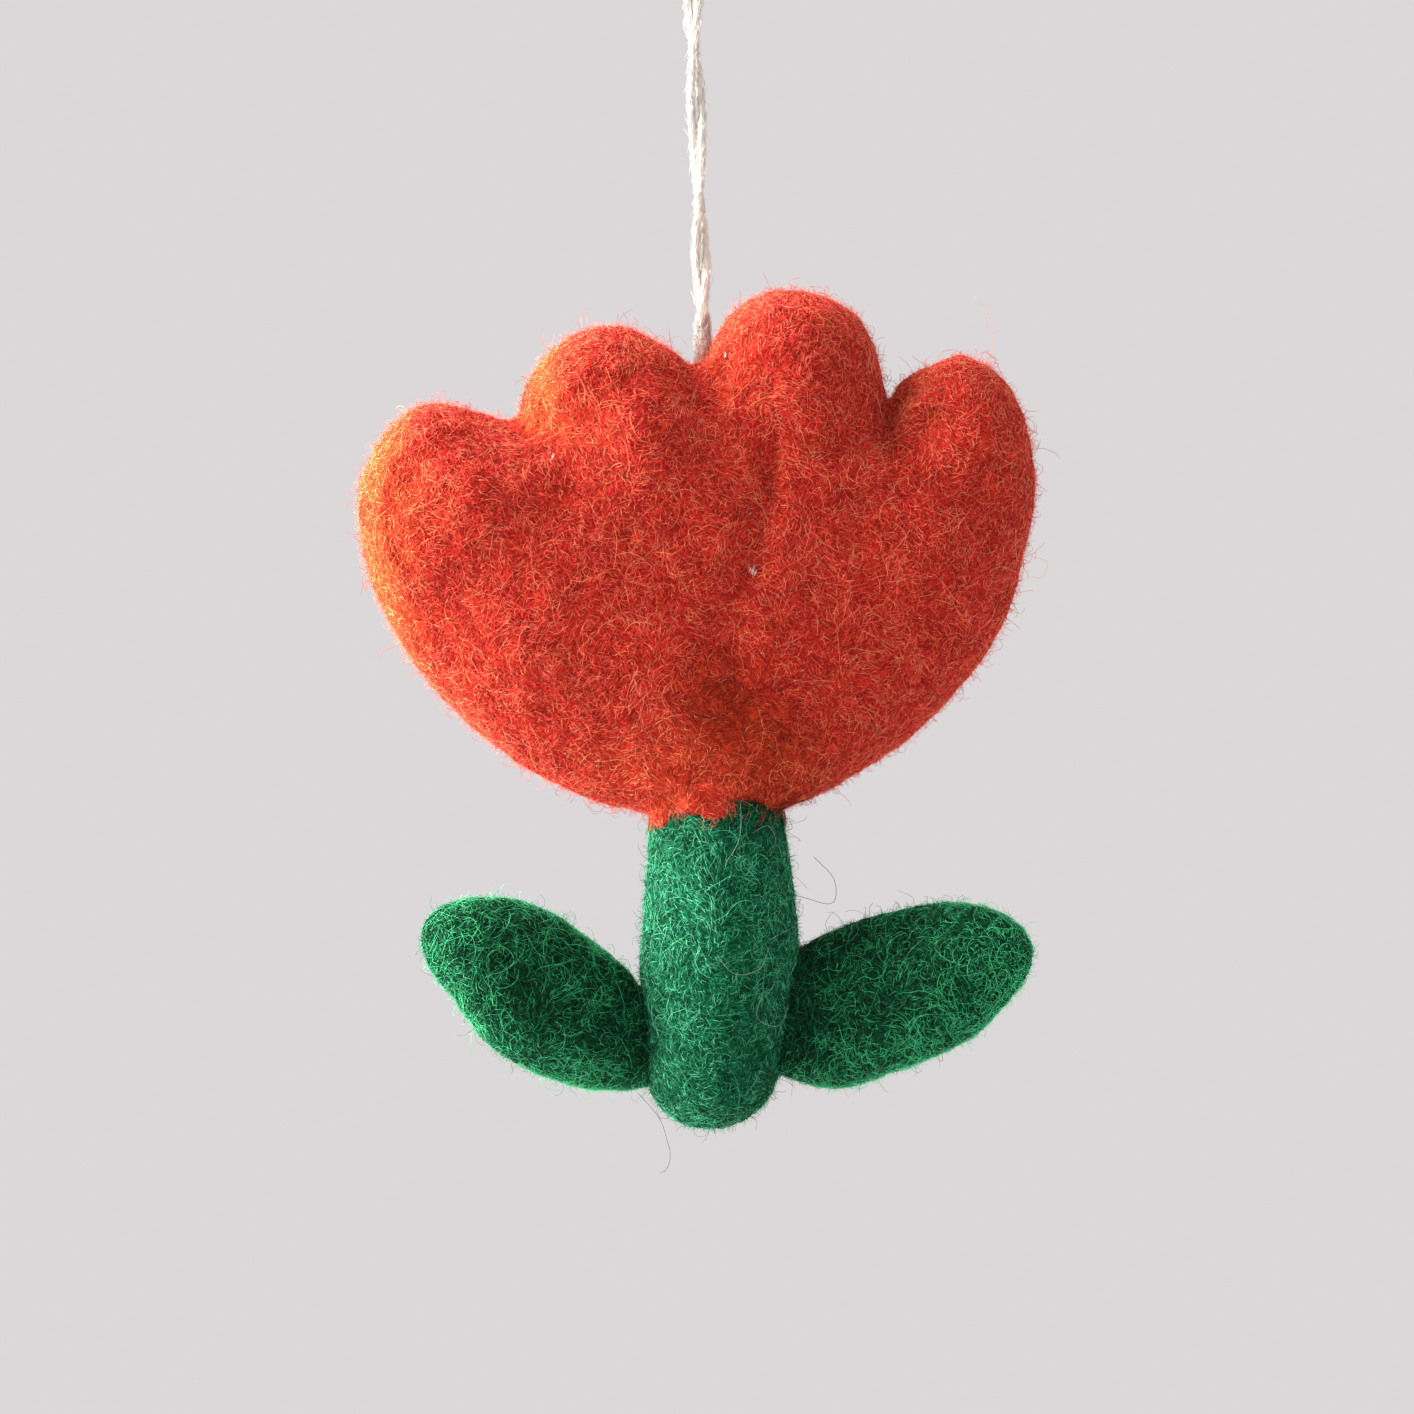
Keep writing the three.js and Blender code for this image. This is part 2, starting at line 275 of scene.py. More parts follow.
LOOP_TOP = [(0.0, 0.0, 0.425)]
ROUTE_STEPS = 6000

middle, across, deep, high = TWINE_RUNS.T
first_run = np.stack([middle + across, deep, high], axis=1)
second_run = np.stack([middle - across, -deep, high], axis=1)
TWINE_ROUTE = np.concatenate([first_run, LOOP_TOP, second_run[::-1]]) * MM


def run_along(path):
    """How far along the path each of its places is."""
    return np.concatenate([[0], np.cumsum(np.linalg.norm(np.diff(path, axis=0), axis=1))])


def smooth_route(points, spacing):
    """Places at even distances along a smooth curve through the points, and its length."""
    steps = np.linalg.norm(np.diff(points, axis=0), axis=1) ** 0.5
    knots = np.concatenate([[0], np.cumsum(steps)])
    slopes = np.gradient(points, knots, axis=0)
    fine = np.linspace(0, knots[-1], ROUTE_STEPS)
    span = np.clip(np.searchsorted(knots, fine, side="right") - 1, 0, len(points) - 2)
    width = (knots[span + 1] - knots[span])[:, None]
    t = (fine - knots[span])[:, None] / width
    curve = (
        (2 * t**3 - 3 * t**2 + 1) * points[span]
        + (t**3 - 2 * t**2 + t) * width * slopes[span]
        + (3 * t**2 - 2 * t**3) * points[span + 1]
        + (t**3 - t**2) * width * slopes[span + 1]
    )
    run = run_along(curve)
    even = np.linspace(0, run[-1], max(int(run[-1] / spacing), 2))
    return np.stack([np.interp(even, run, curve[:, k]) for k in range(3)], axis=1), run[-1]


twine_path, twine_length = smooth_route(TWINE_ROUTE, 0.25 * MM)
print(f"twine {twine_length * 1000:.1f} mm long, {len(twine_path)} places")

# %% Sweep plies along a route
NOT_ALONG = (0.31, 0.87, 0.38)
PLY_SHIFT = 3.7


def unit(vectors):
    return vectors / np.maximum(np.linalg.norm(vectors, axis=-1, keepdims=True), 1e-12)


def side_frames(path):
    """Two directions across the path at each place, carried along without turning."""
    along = unit(np.gradient(path, axis=0))
    side = np.cross(along[0], NOT_ALONG)
    sides = []
    for way in along:
        side = side - way * np.dot(side, way)
        side = side / np.linalg.norm(side)
        sides.append(side)
    sides = np.array(sides)
    return sides, np.cross(along, sides)


def shade_smooth(mesh):
    mesh.polygons.foreach_set("use_smooth", np.ones(len(mesh.polygons), dtype=bool))


def add_mesh(name, material, places, faces, uv_name, uv):
    """A mesh piece from arrays, shaded smooth. The UV map has one place per face corner."""
    mesh = bpy.data.meshes.new(name)
    mesh.from_pydata(places.tolist(), [], faces.tolist())
    mesh.uv_layers.new(name=uv_name).uv.foreach_set("vector", uv.astype("f").ravel())
    mesh.materials.append(material)
    shade_smooth(mesh)
    piece = bpy.data.objects.new(name, mesh)
    scene.collection.objects.link(piece)
    return piece


def tube(path, radii, sides):
    """Places, triangles and corner UVs (round, millimetres along) of a closed tube."""
    right, up = side_frames(path)
    turn = np.arange(sides) * 2 * math.pi / sides
    ring = np.cos(turn)[:, None] * right[:, None] + np.sin(turn)[:, None] * up[:, None]
    places = path[:, None] + ring * np.asarray(radii)[:, None, None]
    places = np.concatenate([places.reshape(-1, 3), path[:1], path[-1:]])
    rows, last = len(path), len(path) * sides
    j = np.arange(sides)
    k = (j + 1) % sides
    low = np.arange(rows - 1)[:, None] * sides
    a, b, c, d = (ids.ravel() for ids in (low + j, low + k, low + sides + k, low + sides + j))
    walls = np.concatenate([np.stack([a, b, c], 1), np.stack([a, c, d], 1)])
    foot = np.stack([np.full(sides, last), k, j], 1)
    top = np.stack([np.full(sides, last + 1), last - sides + j, last - sides + k], 1)
    faces = np.concatenate([walls, foot, top])
    run = run_along(path) / MM
    round_uv = np.concatenate([np.tile(np.abs(j / sides - 0.5), rows), [0.25, 0.25]])
    along_uv = np.concatenate([np.repeat(run, sides), [0, run[-1]]])
    uv = np.stack([round_uv[faces], along_uv[faces]], axis=-1).reshape(-1, 2)
    return places, faces, uv


def twined(path, plies, lay_radius, ply_radius, pitch, sides):
    """Plies laid round a path, as one set of arrays."""
    right, up = side_frames(path)
    run = run_along(path)
    lay_radius = np.broadcast_to(lay_radius, len(path))
    ply_radius = np.broadcast_to(ply_radius, len(path))
    sets, start = [], 0
    for ply in range(plies):
        turn = (run / pitch + ply / plies) * 2 * math.pi
        offset = np.cos(turn)[:, None] * right + np.sin(turn)[:, None] * up
        places, faces, uv = tube(path + offset * lay_radius[:, None], ply_radius, sides)
        sets.append((places, faces + start, uv + (ply * PLY_SHIFT, 0)))
        start += len(places)
    return [np.concatenate(part) for part in zip(*sets)]


def lay_cord(name, material, body, node, *laying):
    """A cord of plies as a piece that rides on a body and stands for a measured node."""
    places, faces, uv = twined(*laying)
    piece = add_mesh(name, material, places, faces, "ply", uv)
    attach(piece, body)
    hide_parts(node)
    print(f"{name}: {len(faces)} faces")
    return piece


# %% Smooth random fields
def wave_field(seed, shortest, longest, waves=16):
    """A smooth random value at every place, about -1 to 1, from waves that cross each other."""
    dice = np.random.default_rng(seed)
    lengths = np.exp(dice.uniform(math.log(shortest), math.log(longest), waves)) * MM
    ways = unit(dice.normal(size=(waves, 3))) * (2 * math.pi / lengths)[:, None]
    starts = dice.uniform(0, 2 * math.pi, waves)
    return lambda places: np.sin(places @ ways.T + starts).sum(axis=1) / math.sqrt(waves / 2)


slubs = wave_field(3, 4, 14)

# %% Lay the twine
PLY_PITCH = 8.5 * MM
LAY_RADIUS, PLY_RADIUS = 0.13 * MM, 0.31 * MM

thickness = 1 + 0.08 * slubs(twine_path)
twine = lay_cord(
    "twine_loop", cotton, "hanger", "hanging_loop",
    twine_path, 3, LAY_RADIUS * thickness, PLY_RADIUS * thickness, PLY_PITCH, 8,
)

# %% [markdown]
# ## Fibres as meshes
#
# What makes cotton and felt look soft is their loose fibres. A hair system would be lost in the
# export, so each fibre is a mesh: a thin three-sided spindle, pointed at both ends. A short one
# is bent once in its middle and has six faces. Its place in a UV map is its colour on a card: U
# is how pale the fibre is, and V how warm it is.

# %% Short fibres
BENT, TIPPED = 0.14, 0.12
TUCK, TUCK_RADIUS = 0.03 * MM, 90 * MM


def needles(places, outs, ways, lengths, lift):
    """Short fibres as three stations each: the ends tucked in, the middle raised and bent."""
    count = len(places)
    half = ways * (lengths / 2)[:, None]
    bent = np.cross(outs, ways) * (lengths * chance.normal(0, BENT, count))[:, None]
    tipped = outs * (lengths * chance.normal(0, TIPPED, count))[:, None]
    tucked = outs * (TUCK + lengths**2 / TUCK_RADIUS)[:, None]
    raised = outs * (lift * chance.random(count))[:, None]
    return np.stack([
        places - half - tipped - tucked,
        places + bent + raised,
        places + half + tipped - tucked,
    ], axis=1)


# %% Spin fibres into pieces
MOST_FACES = 190_000
CARD_START, CARD_WIDTH, CARD_STEP = 0.02, 0.92, 0.004


def spun(stations, radius):
    """Pointed three-sided spindles along the stations: places and triangles."""
    count, rows = stations.shape[:2]
    along = unit(np.gradient(stations, axis=1))
    right = unit(np.cross(along, chance.normal(size=(count, 1, 3))))
    up = np.cross(along, right)
    turn = np.arange(3) * 2 * math.pi / 3
    ring = np.cos(turn)[:, None] * right[:, :, None] + np.sin(turn)[:, None] * up[:, :, None]
    girth = np.broadcast_to(radius, count)[:, None, None, None]
    rings = (stations[:, 1:-1, None] + ring[:, 1:-1] * girth).reshape(count, -1, 3)
    places = np.concatenate([stations[:, :1], rings, stations[:, -1:]], axis=1)
    faces = [[0, 1 + (j + 1) % 3, 1 + j] for j in range(3)]
    for row in range(rows - 3):
        low, high = 1 + row * 3, 4 + row * 3
        for j in range(3):
            k = (j + 1) % 3
            faces += [[low + j, low + k, high + k], [low + j, high + k, high + j]]
    tip = 1 + (rows - 2) * 3
    faces += [[tip, tip - 3 + j, tip - 3 + (j + 1) % 3] for j in range(3)]
    return places, np.array(faces)


def fibre_pieces(name, groups, material, hang):
    """Pieces of at most MOST_FACES from groups of (stations, radius, pale, warm)."""
    places, faces, uvs, made = [], [], [], []
    start = total = 0

    def close():
        piece = add_mesh(
            f"{name}_{len(made) + 1}", material, np.concatenate(places), np.concatenate(faces),
            "OFBake", np.concatenate(uvs),
        )
        hang(piece)
        made.append(piece)
        for store in (places, faces, uvs):
            store.clear()

    for stations, radius, pale, warm in groups:
        spindle, pattern = spun(stations, radius)
        room = MOST_FACES // len(pattern)
        rings = stations.shape[1] - 2
        across = np.array([0] + [0, 1, 2] * rings + [1]) * CARD_STEP
        along = np.repeat(np.arange(rings + 2), [1] + [3] * rings + [1]) * CARD_STEP
        for first in range(0, len(spindle), room):
            block = spindle[first:first + room]
            if total + len(block) * len(pattern) > MOST_FACES:
                close()
                start = total = 0
            shift = start + np.arange(len(block))[:, None, None] * block.shape[1]
            places.append(block.reshape(-1, 3))
            faces.append((pattern + shift).reshape(-1, 3))
            u = CARD_START + CARD_WIDTH * pale[first:first + room, None] + across
            v = CARD_START + CARD_WIDTH * warm[first:first + room, None] + along
            uvs.append(np.stack([u, v], axis=-1)[:, pattern].reshape(-1, 2))
            start += block.shape[0] * block.shape[1]
            total += len(block) * len(pattern)
    close()
    print(f"{name}: {len(made)} pieces, {sum(len(p.data.polygons) for p in made)} faces")
    return made


# %% Fibre finish
GLOW_RADIUS = (0.25, 1.0, 0.5)
GLOW_SCALE = 0.0004


def fibre_material(name, cool, warm, glow=0.0):
    """Colour card: two ramps from deep to pale, and the warmth picks between them."""
    material, tree, shader = new_material(name)
    card = add_node(tree, "ShaderNodeUVMap", uv_map="OFBake")
    split = add_node(tree, "ShaderNodeSeparateXYZ", card).node.outputs
    ramps = [
        add_ramp(tree, split["X"], *zip((0, 0.5, 1), (from_srgb(*colour) for colour in colours)))
        for colours in (cool, warm)
    ]
    set_inputs(shader, {
        "Base Color": add_mix(tree, split["Y"], *ramps), "Roughness": 0.65,
        "Specular IOR Level": 0.15, "Subsurface Weight": glow,
        "Subsurface Radius": GLOW_RADIUS, "Subsurface Scale": GLOW_SCALE,
    })
    return material


cotton_fibre = fibre_material(
    "cotton_fibre",
    ((198, 180, 166), (230, 220, 208), (248, 245, 240)),
    ((176, 78, 66), (212, 138, 126), (236, 196, 188)),
)
print("fibre finish:", cotton_fibre.name)

# %% [markdown]
# ## Cotton fuzz
#
# Soft cotton has no clean edge: fibres lie along it, and a few stand off. They are laid along
# the twine with a little tangle.

# %% Fuzz along a cord
def cord_fuzz(path, count, reach, longest, tangle, lift):
    """Fibres that lie along a cord: their stations, and how far along the cord they are."""
    right, up = side_frames(path)
    along = unit(np.gradient(path, axis=0))
    pick = chance.integers(0, len(path), count)
    turn = chance.uniform(0, 2 * math.pi, count)[:, None]
    outs = np.cos(turn) * right[pick] + np.sin(turn) * up[pick]
    ways = unit(along[pick] + chance.normal(0, tangle, (count, 3)))
    ways = unit(ways - outs * np.sum(ways * outs, axis=1, keepdims=True))
    lengths = chance.uniform(0.35, 1.0, count) * longest
    reach = np.broadcast_to(reach, len(path))[pick]
    stations = needles(path[pick] + outs * reach[:, None], outs, ways, lengths, lift)
    return stations, pick / len(path)


def pale_cotton(count):
    return np.clip(chance.normal(0.6, 0.22, count), 0, 1)


def hung_on(body):
    """What fibre_pieces does to each piece: it rides on the body."""
    def hang(piece):
        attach(piece, body)
    return hang


LAIN, LOOSE = 2600, 420
TWINE_REACH = 0.4 * MM
lain, _ = cord_fuzz(twine_path, LAIN, TWINE_REACH, longest=3.2 * MM, tangle=0.22, lift=0.1 * MM)
loose, _ = cord_fuzz(twine_path, LOOSE, TWINE_REACH, longest=1.8 * MM, tangle=0.9, lift=0.45 * MM)
twine_fuzz = fibre_pieces("twine_fuzz", [
    (lain, chance.uniform(0.025, 0.045, LAIN) * MM, pale_cotton(LAIN), np.zeros(LAIN)),
    (loose, np.full(LOOSE, 0.014 * MM), pale_cotton(LOOSE), np.zeros(LOOSE)),
], cotton_fibre, hung_on("hanger"))

# %% [markdown]
# ## Cord neck
#
# Just above the flower the two runs meet and fray into a small tuft, which goes into the notch.
# It is a tube of four loose plies that swells in its middle, with a thick coat of fibres. Its
# lower end has taken on red wool.

# %% Tuft
NECK_X = 1.8 * MM
NECK_TOP, NECK_FOOT = -74.0 * MM, -82.2 * MM
NECK_PLACES = 48
NECK_PITCH = 14 * MM
FRAYED = 1400

rise = np.linspace(0, 1, NECK_PLACES)
neck_path = np.stack([
    np.full(NECK_PLACES, NECK_X),
    np.zeros(NECK_PLACES),
    NECK_FOOT + (NECK_TOP - NECK_FOOT) * rise,
], axis=1)
swell = np.interp(rise, [0, 0.25, 0.55, 0.8, 1], [0.5, 0.72, 0.8, 0.66, 0.52]) * MM
lay_cord(
    "cord_neck_tuft", stained_cotton, "neck", "cord_neck",
    neck_path, 4, swell * 0.5, swell * 0.5, NECK_PITCH, 10,
)
lain, height = cord_fuzz(
    neck_path, FRAYED, swell * 0.92, longest=2.6 * MM, tangle=0.6, lift=0.5 * MM
)
warmth = np.clip(0.95 - height * 1.5 + chance.normal(0, 0.15, FRAYED), 0, 1)
fibre_pieces("neck_fuzz", [
    (lain, chance.uniform(0.02, 0.035, FRAYED) * MM, pale_cotton(FRAYED), warmth),
], cotton_fibre, hung_on("neck"))

# %% [markdown]
# ## Anchor knot
#
# Inside the felt the doubled twine ends in a knot, so it can't pull out. It doesn't show, but it
# is the point about which the flower turns. A trefoil is the shape of a simple overhand knot.

# %% Knot inside the felt
KNOT_SIZE = 0.5

pivot = next(joint for joint in frame["joints"] if joint["name"] == "nod")["pos_m"]
turn = np.linspace(0, 2 * math.pi, 160, endpoint=False)
trefoil = np.stack([
    np.sin(turn) + 2 * np.sin(2 * turn),
    np.cos(turn) - 2 * np.cos(2 * turn),
    -1.5 * np.sin(3 * turn),
], axis=1) * KNOT_SIZE * MM + np.array(Vector(pivot))
lay_cord(
    "anchor_knot_twine", cotton, "anchor", "anchor_knot",
    trefoil, 3, 0.22 * MM, 0.24 * MM, PLY_PITCH, 6,
)
print("twine ends in the neck and the knot")

# %% [markdown]
# ## Felt forms
#
# Under the loose fibres, felt is a dense body. Each body starts as a copy of its measured solid.
# Edit-mode sculpting would be slow, so the copy is grown a little, remeshed into one even skin,
# smoothed, and let shrink back to size. Cloud noise then gives it the shallow dimples of needling.

# %% Helpers for felt bodies
def only(piece):
    bpy.ops.object.select_all(action="DESELECT")
    piece.select_set(True)
    bpy.context.view_layer.objects.active = piece


def edit_mesh(operation, **settings):
    """An edit-mode operation on all of the active piece."""
    bpy.ops.object.mode_set(mode="EDIT")
    bpy.ops.mesh.select_all(action="SELECT")
    operation(**settings)
    bpy.ops.object.mode_set(mode="OBJECT")


def apply_modifier(piece, kind, **settings):
    only(piece)
    modifier = piece.modifiers.new(kind.title(), kind)
    for name, value in settings.items():
        setattr(modifier, name, value)
    bpy.ops.object.modifier_apply(modifier=modifier.name)


def joined(pieces, name):
    only(pieces[0])
    for piece in pieces:
        piece.select_set(True)
    bpy.ops.object.join()
    pieces[0].name = pieces[0].data.name = name
    return pieces[0]


def node_copy(name, nodes):
    """Copies of measured solids in one mesh, with their doubled points merged."""
    copies = []
    for node in nodes:
        copy = bpy.data.objects.new(name, frame["nodes"][node].data.copy())
        scene.collection.objects.link(copy)
        copies.append(copy)
    piece = joined(copies, name)
    edit_mesh(bpy.ops.mesh.remove_doubles, threshold=0.01 * MM)
    piece.data.materials.clear()
    return piece


def wad(place, radii, turn=0):
    """A ball of wool, in millimetres, turned about the upright, to be felted into a body."""
    bpy.ops.object.select_all(action="DESELECT")
    bpy.ops.mesh.primitive_uv_sphere_add(
        segments=24, ring_count=16, radius=1, location=Vector(place) * MM
    )
    ball = bpy.context.object
    ball.scale = Vector(radii) * MM
    ball.rotation_euler.z = math.radians(turn)
    bpy.ops.object.transform_apply(location=True, rotation=True, scale=True)
    return ball


def keep_largest(piece):
    """Drops the small closed bubbles that a remesh leaves inside a body."""
    only(piece)
    edit_mesh(bpy.ops.mesh.separate, type="LOOSE")
    parts = sorted(bpy.context.selected_objects, key=lambda o: len(o.data.vertices))
    name = piece.name
    for part in parts[:-1]:
        bpy.data.objects.remove(part)
    parts[-1].name = parts[-1].data.name = name
    return parts[-1]


def felted(piece, voxel, grow, rounds):
    apply_modifier(piece, "DISPLACE", strength=grow, mid_level=0)
    apply_modifier(piece, "REMESH", mode="VOXEL", voxel_size=voxel)
    piece = keep_largest(piece)
    apply_modifier(piece, "SMOOTH", factor=0.5, iterations=rounds)
    apply_modifier(piece, "DISPLACE", strength=-grow, mid_level=0)
    shade_smooth(piece.data)
    return piece


def dimpled(piece, size, height):
    clouds = bpy.data.textures.new(piece.name + "_dimples", "CLOUDS")
    clouds.noise_scale = size
    clouds.noise_depth = 2
    apply_modifier(
        piece, "DISPLACE", texture=clouds, texture_coords="LOCAL", strength=height, mid_level=0.5
    )


# %% Helpers for moving points
def vertex_places(piece):
    places = np.empty(len(piece.data.vertices) * 3)
    piece.data.vertices.foreach_get("co", places)
    return places.reshape(-1, 3)


def vertex_normals(piece):
    normals = np.empty(len(piece.data.vertices) * 3)
    piece.data.vertex_normals.foreach_get("vector", normals)
    return normals.reshape(-1, 3)


def set_places(piece, places):
    piece.data.vertices.foreach_set("co", places.ravel())
    piece.data.update()


def ease(value, low, high):
    """0 below low, 1 above high, and a smooth rise between them."""
    t = np.clip((value - low) / (high - low), 0, 1)
    return t * t * (3 - 2 * t)


def touched(places, touches):
    """How far touches move each place out: each has a middle (x, z), a reach and a size, in mm."""
    out = np.zeros(len(places))
    for x, z, reach, size in touches:
        gap = np.hypot(places[:, 0] - x * MM, places[:, 2] - z * MM) / (reach * MM)
        out += size * MM * np.exp(-(gap**2))
    return out


# %% [markdown]
# ## Head
#
# On the real flower the four petals are felted into one skin, and no seam shows between them. So
# the head is made from all four petals together. Wads of wool close the room round the cord, make
# a collar over the stem's top, and hang from it in the ragged tongues that the photograph shows.

# %% Felt the head
PETALS = ["petal_far_left", "petal_mid_left", "petal_mid_right", "petal_far_right"]
WADS = [
    ((1.8, 0, -85.4), (5.4, 7, 5.4)),
    ((-8.9, 0, -86.9), (11.5, 9.6, 11.4)),
    ((12.4, 0, -82), (10.8, 9.6, 10.8)),
    ((3.6, 0, -130), (9.3, 9.3, 3.2)),
    ((-3, -4.2, -133.2), (1.7, 0.9, 1.8), -58),
    ((0.4, -7.3, -132), (1.6, 0.9, 1.2), -22),
    ((3.2, -7.9, -132.5), (1.9, 0.9, 1.5), 0),
    ((9.8, -4.6, -131.6), (1.4, 0.8, 1.2), 55),
    ((7.6, 6.6, -132.3), (2.2, 0.9, 1.6), 150),
    ((-1.6, 6, -132.6), (2, 0.9, 1.7), 40),
    ((3, 7.9, -131.7), (1.8, 0.8, 1.2), 0),
]

wads = [wad(*size) for size in WADS]
head = joined([node_copy("head_felt", PETALS + ["flower_core"]), *wads], "head_felt")
head = felted(head, voxel=0.5 * MM, grow=0.45 * MM, rounds=8)
print(f"head of {len(head.data.polygons)} faces")

# %% [markdown]
# ## Creases
#
# Between the lobes the wool is stabbed deeper. Each crease starts at its notch and runs down into
# the face of the flower, where it gets wider and fades. The back is stabbed the same way. Small
# touches then fill or dig the outline and the faces, and a few notches are cut deeper. Last, the
# felt is pressed away from the cord. That room widens upwards like a cone, because the cord leans
# when the flower sways.

# %% Press the creases in
# Each crease: its route (x, z), its depth and half its width, in millimetres, and how fast it fades
CREASES = [
    ([(-19.6, -86.4), (-15.8, -90.6), (-12.5, -94.5), (-8.5, -99)], 2.1, 2.8, 1.2),
    ([(2.6, -80.5), (6.2, -85.2), (9.8, -91.2)], 0.9, 2.2, 0.5),
    ([(9.8, -91.2), (8.6, -97), (7, -104), (4.6, -111), (2.4, -118)], 1.4, 1.6, 0.35),
    ([(23.3, -88.3), (22.2, -90.8), (20.5, -93.5)], 0.5, 2.2, 0.8),
]
# Places (x, z), how far round them, and how far out (or in, below zero), in millimetres
TOUCHES = [
    (-35, -109, 9, 0.9), (37.8, -110.2, 10, 0.8), (32.5, -81.5, 8, 0.5),
    (-31, -85.5, 7, 0.3), (-24.5, -86.5, 4, -0.5), (-4, -78, 4, -0.4),
]
# The same for the front and back only, which leaves the outline as it is
RIDGES = [
    (-25, -96, 5, 1.2), (-32.5, -97, 5.5, -1), (-20, -111, 7, 0.8),
    (-28, -112, 6, -1), (-5, -88, 5, 1.4), (-13.5, -86.5, 5, -0.6),
    (13.5, -84, 5, 0.9), (34, -89.5, 5, 1.3), (29.5, -105, 9, 1.6),
    (6.5, -121, 4.5, -0.9), (11.5, -124, 4, -0.8), (24.3, -84.8, 2.6, 1.2),
    (0.5, -88, 5, 0.7), (-22.5, -90.5, 4, -0.6),
]
# Notches in the upper edge: where, how far to each side, and how far down, in millimetres
NOTCHES = [(23.9, 1.9, 1.9), (23.8, 0.9, 1.5), (-18.6, 1.6, 0.5)]
NOTCH_LOW, NOTCH_FULL = -93 * MM, -86 * MM


def crease_depth(x, z, route, depth, width, fade):
    """How deep a crease is at each place: deepest at the notch, fading along its route."""
    route = np.array(route) * MM
    legs = np.diff(route, axis=0)
    sizes = np.linalg.norm(legs, axis=1)
    total = sizes.sum()
    best = np.full(len(x), np.inf)
    done = np.zeros(len(x))
    before = 0.0
    for start, leg, size in zip(route[:-1], legs, sizes):
        t = np.clip(((x - start[0]) * leg[0] + (z - start[1]) * leg[1]) / size**2, 0, 1)
        gap = np.hypot(x - start[0] - t * leg[0], z - start[1] - t * leg[1])
        nearer = gap < best
        best = np.where(nearer, gap, best)
        done = np.where(nearer, (before + t * size) / total, done)
        before += size
    fading = (1 - done) ** fade
    return depth * MM * fading * np.exp(-((best / (width * MM * (1 + 0.9 * done))) ** 2))


places, normals = vertex_places(head), vertex_normals(head)
facing = np.abs(normals[:, 1])
outward = np.zeros(len(places))
for crease in CREASES:
    outward -= crease_depth(places[:, 0], places[:, 2], *crease) * (0.2 + 0.8 * facing)
outward += touched(places, TOUCHES) + touched(places, RIDGES) * facing
places = places + normals * outward[:, None]
for notch_x, reach, depth in NOTCHES:
    near = np.exp(-(((places[:, 0] - notch_x * MM) / (reach * MM)) ** 2))
    places[:, 2] -= depth * MM * near * ease(places[:, 2], NOTCH_LOW, NOTCH_FULL)
set_places(head, places)
dimpled(head, 7 * MM, 0.6 * MM)
dimpled(head, 2.4 * MM, 0.3 * MM)
apply_modifier(head, "SMOOTH", factor=0.5, iterations=2)
print(f"creases up to {-outward.min() * 1000:.1f} mm deep")

# %% Leave room for the cord
CORD_ROOM = 0.95 * MM
CORD_LEAN = np.tan(np.radians(12.5))
CONE_FOOT, ROOM_FOOT = -83.8 * MM, -82.5 * MM

places = vertex_places(head)
across = places[:, :2] - (NECK_X, 0)
gap = np.linalg.norm(across, axis=1)
room = CORD_ROOM + CORD_LEAN * np.maximum(places[:, 2] - CONE_FOOT, 0)
near = (gap < room) & (places[:, 2] > ROOM_FOOT)
places[near, :2] += across[near] * (room[near] / np.maximum(gap[near], 0.05 * MM) - 1)[:, None]
set_places(head, places)
print(f"{near.sum()} points pressed away from the cord")

# %% [markdown]
# ## Stem
#
# The stem is a firm roll of green wool, a little bent, as rolled felt always is. Its points are
# moved sideways by an amount that changes with their height.

# %% Felt the stem
STEM_HEIGHTS = np.array([-172, -165, -155, -143, -134, -120]) * MM
STEM_SHIFTS = np.array([-1.1, -0.6, 0.0, 0.3, -0.1, 0.0]) * MM
STEM_X = 3.0 * MM
FOOT_RISE = 0.6 * MM
FOOT_TAPER = 0.06

stem = felted(node_copy("stem_felt", ["stem"]), voxel=0.45 * MM, grow=0.1 * MM, rounds=6)
places = vertex_places(stem)
places[:, 0] += np.interp(places[:, 2], STEM_HEIGHTS, STEM_SHIFTS)
places[:, 2] += FOOT_RISE * ease(-places[:, 2], 164 * MM, 171 * MM)
places[:, 0] -= (places[:, 0] - STEM_X) * FOOT_TAPER * ease(-places[:, 2], 158 * MM, 169 * MM)
set_places(stem, places)
dimpled(stem, 5 * MM, 0.6 * MM)
dimpled(stem, 1.8 * MM, 0.25 * MM)
print(f"stem of {len(stem.data.polygons)} faces")

# %% [markdown]
# ## Leaves
#
# Each leaf is a flat almond whose root is felted onto the side of the stem. The measured solid is
# cut square there, so the points near its root are drawn into the stem and pinched a little,
# which leaves the dark crease that the photograph shows. From their shading, both leaves bend
# forward on their way out, and the left one's tip rolls back again.

# %% Felt the leaves
LEAF_FORWARD = 1.0 * MM
ROOT_REACH, ROOT_END = -7 * MM, 0.5 * MM
ROOT_DRAW = 3.2
ROOT_THINNED = 0.36
LEAF_RUN = np.linspace(0, 30, 121)
LEFT_ROLL = 2.6 * np.maximum(LEAF_RUN / 10 - 1.6, 0) ** 2
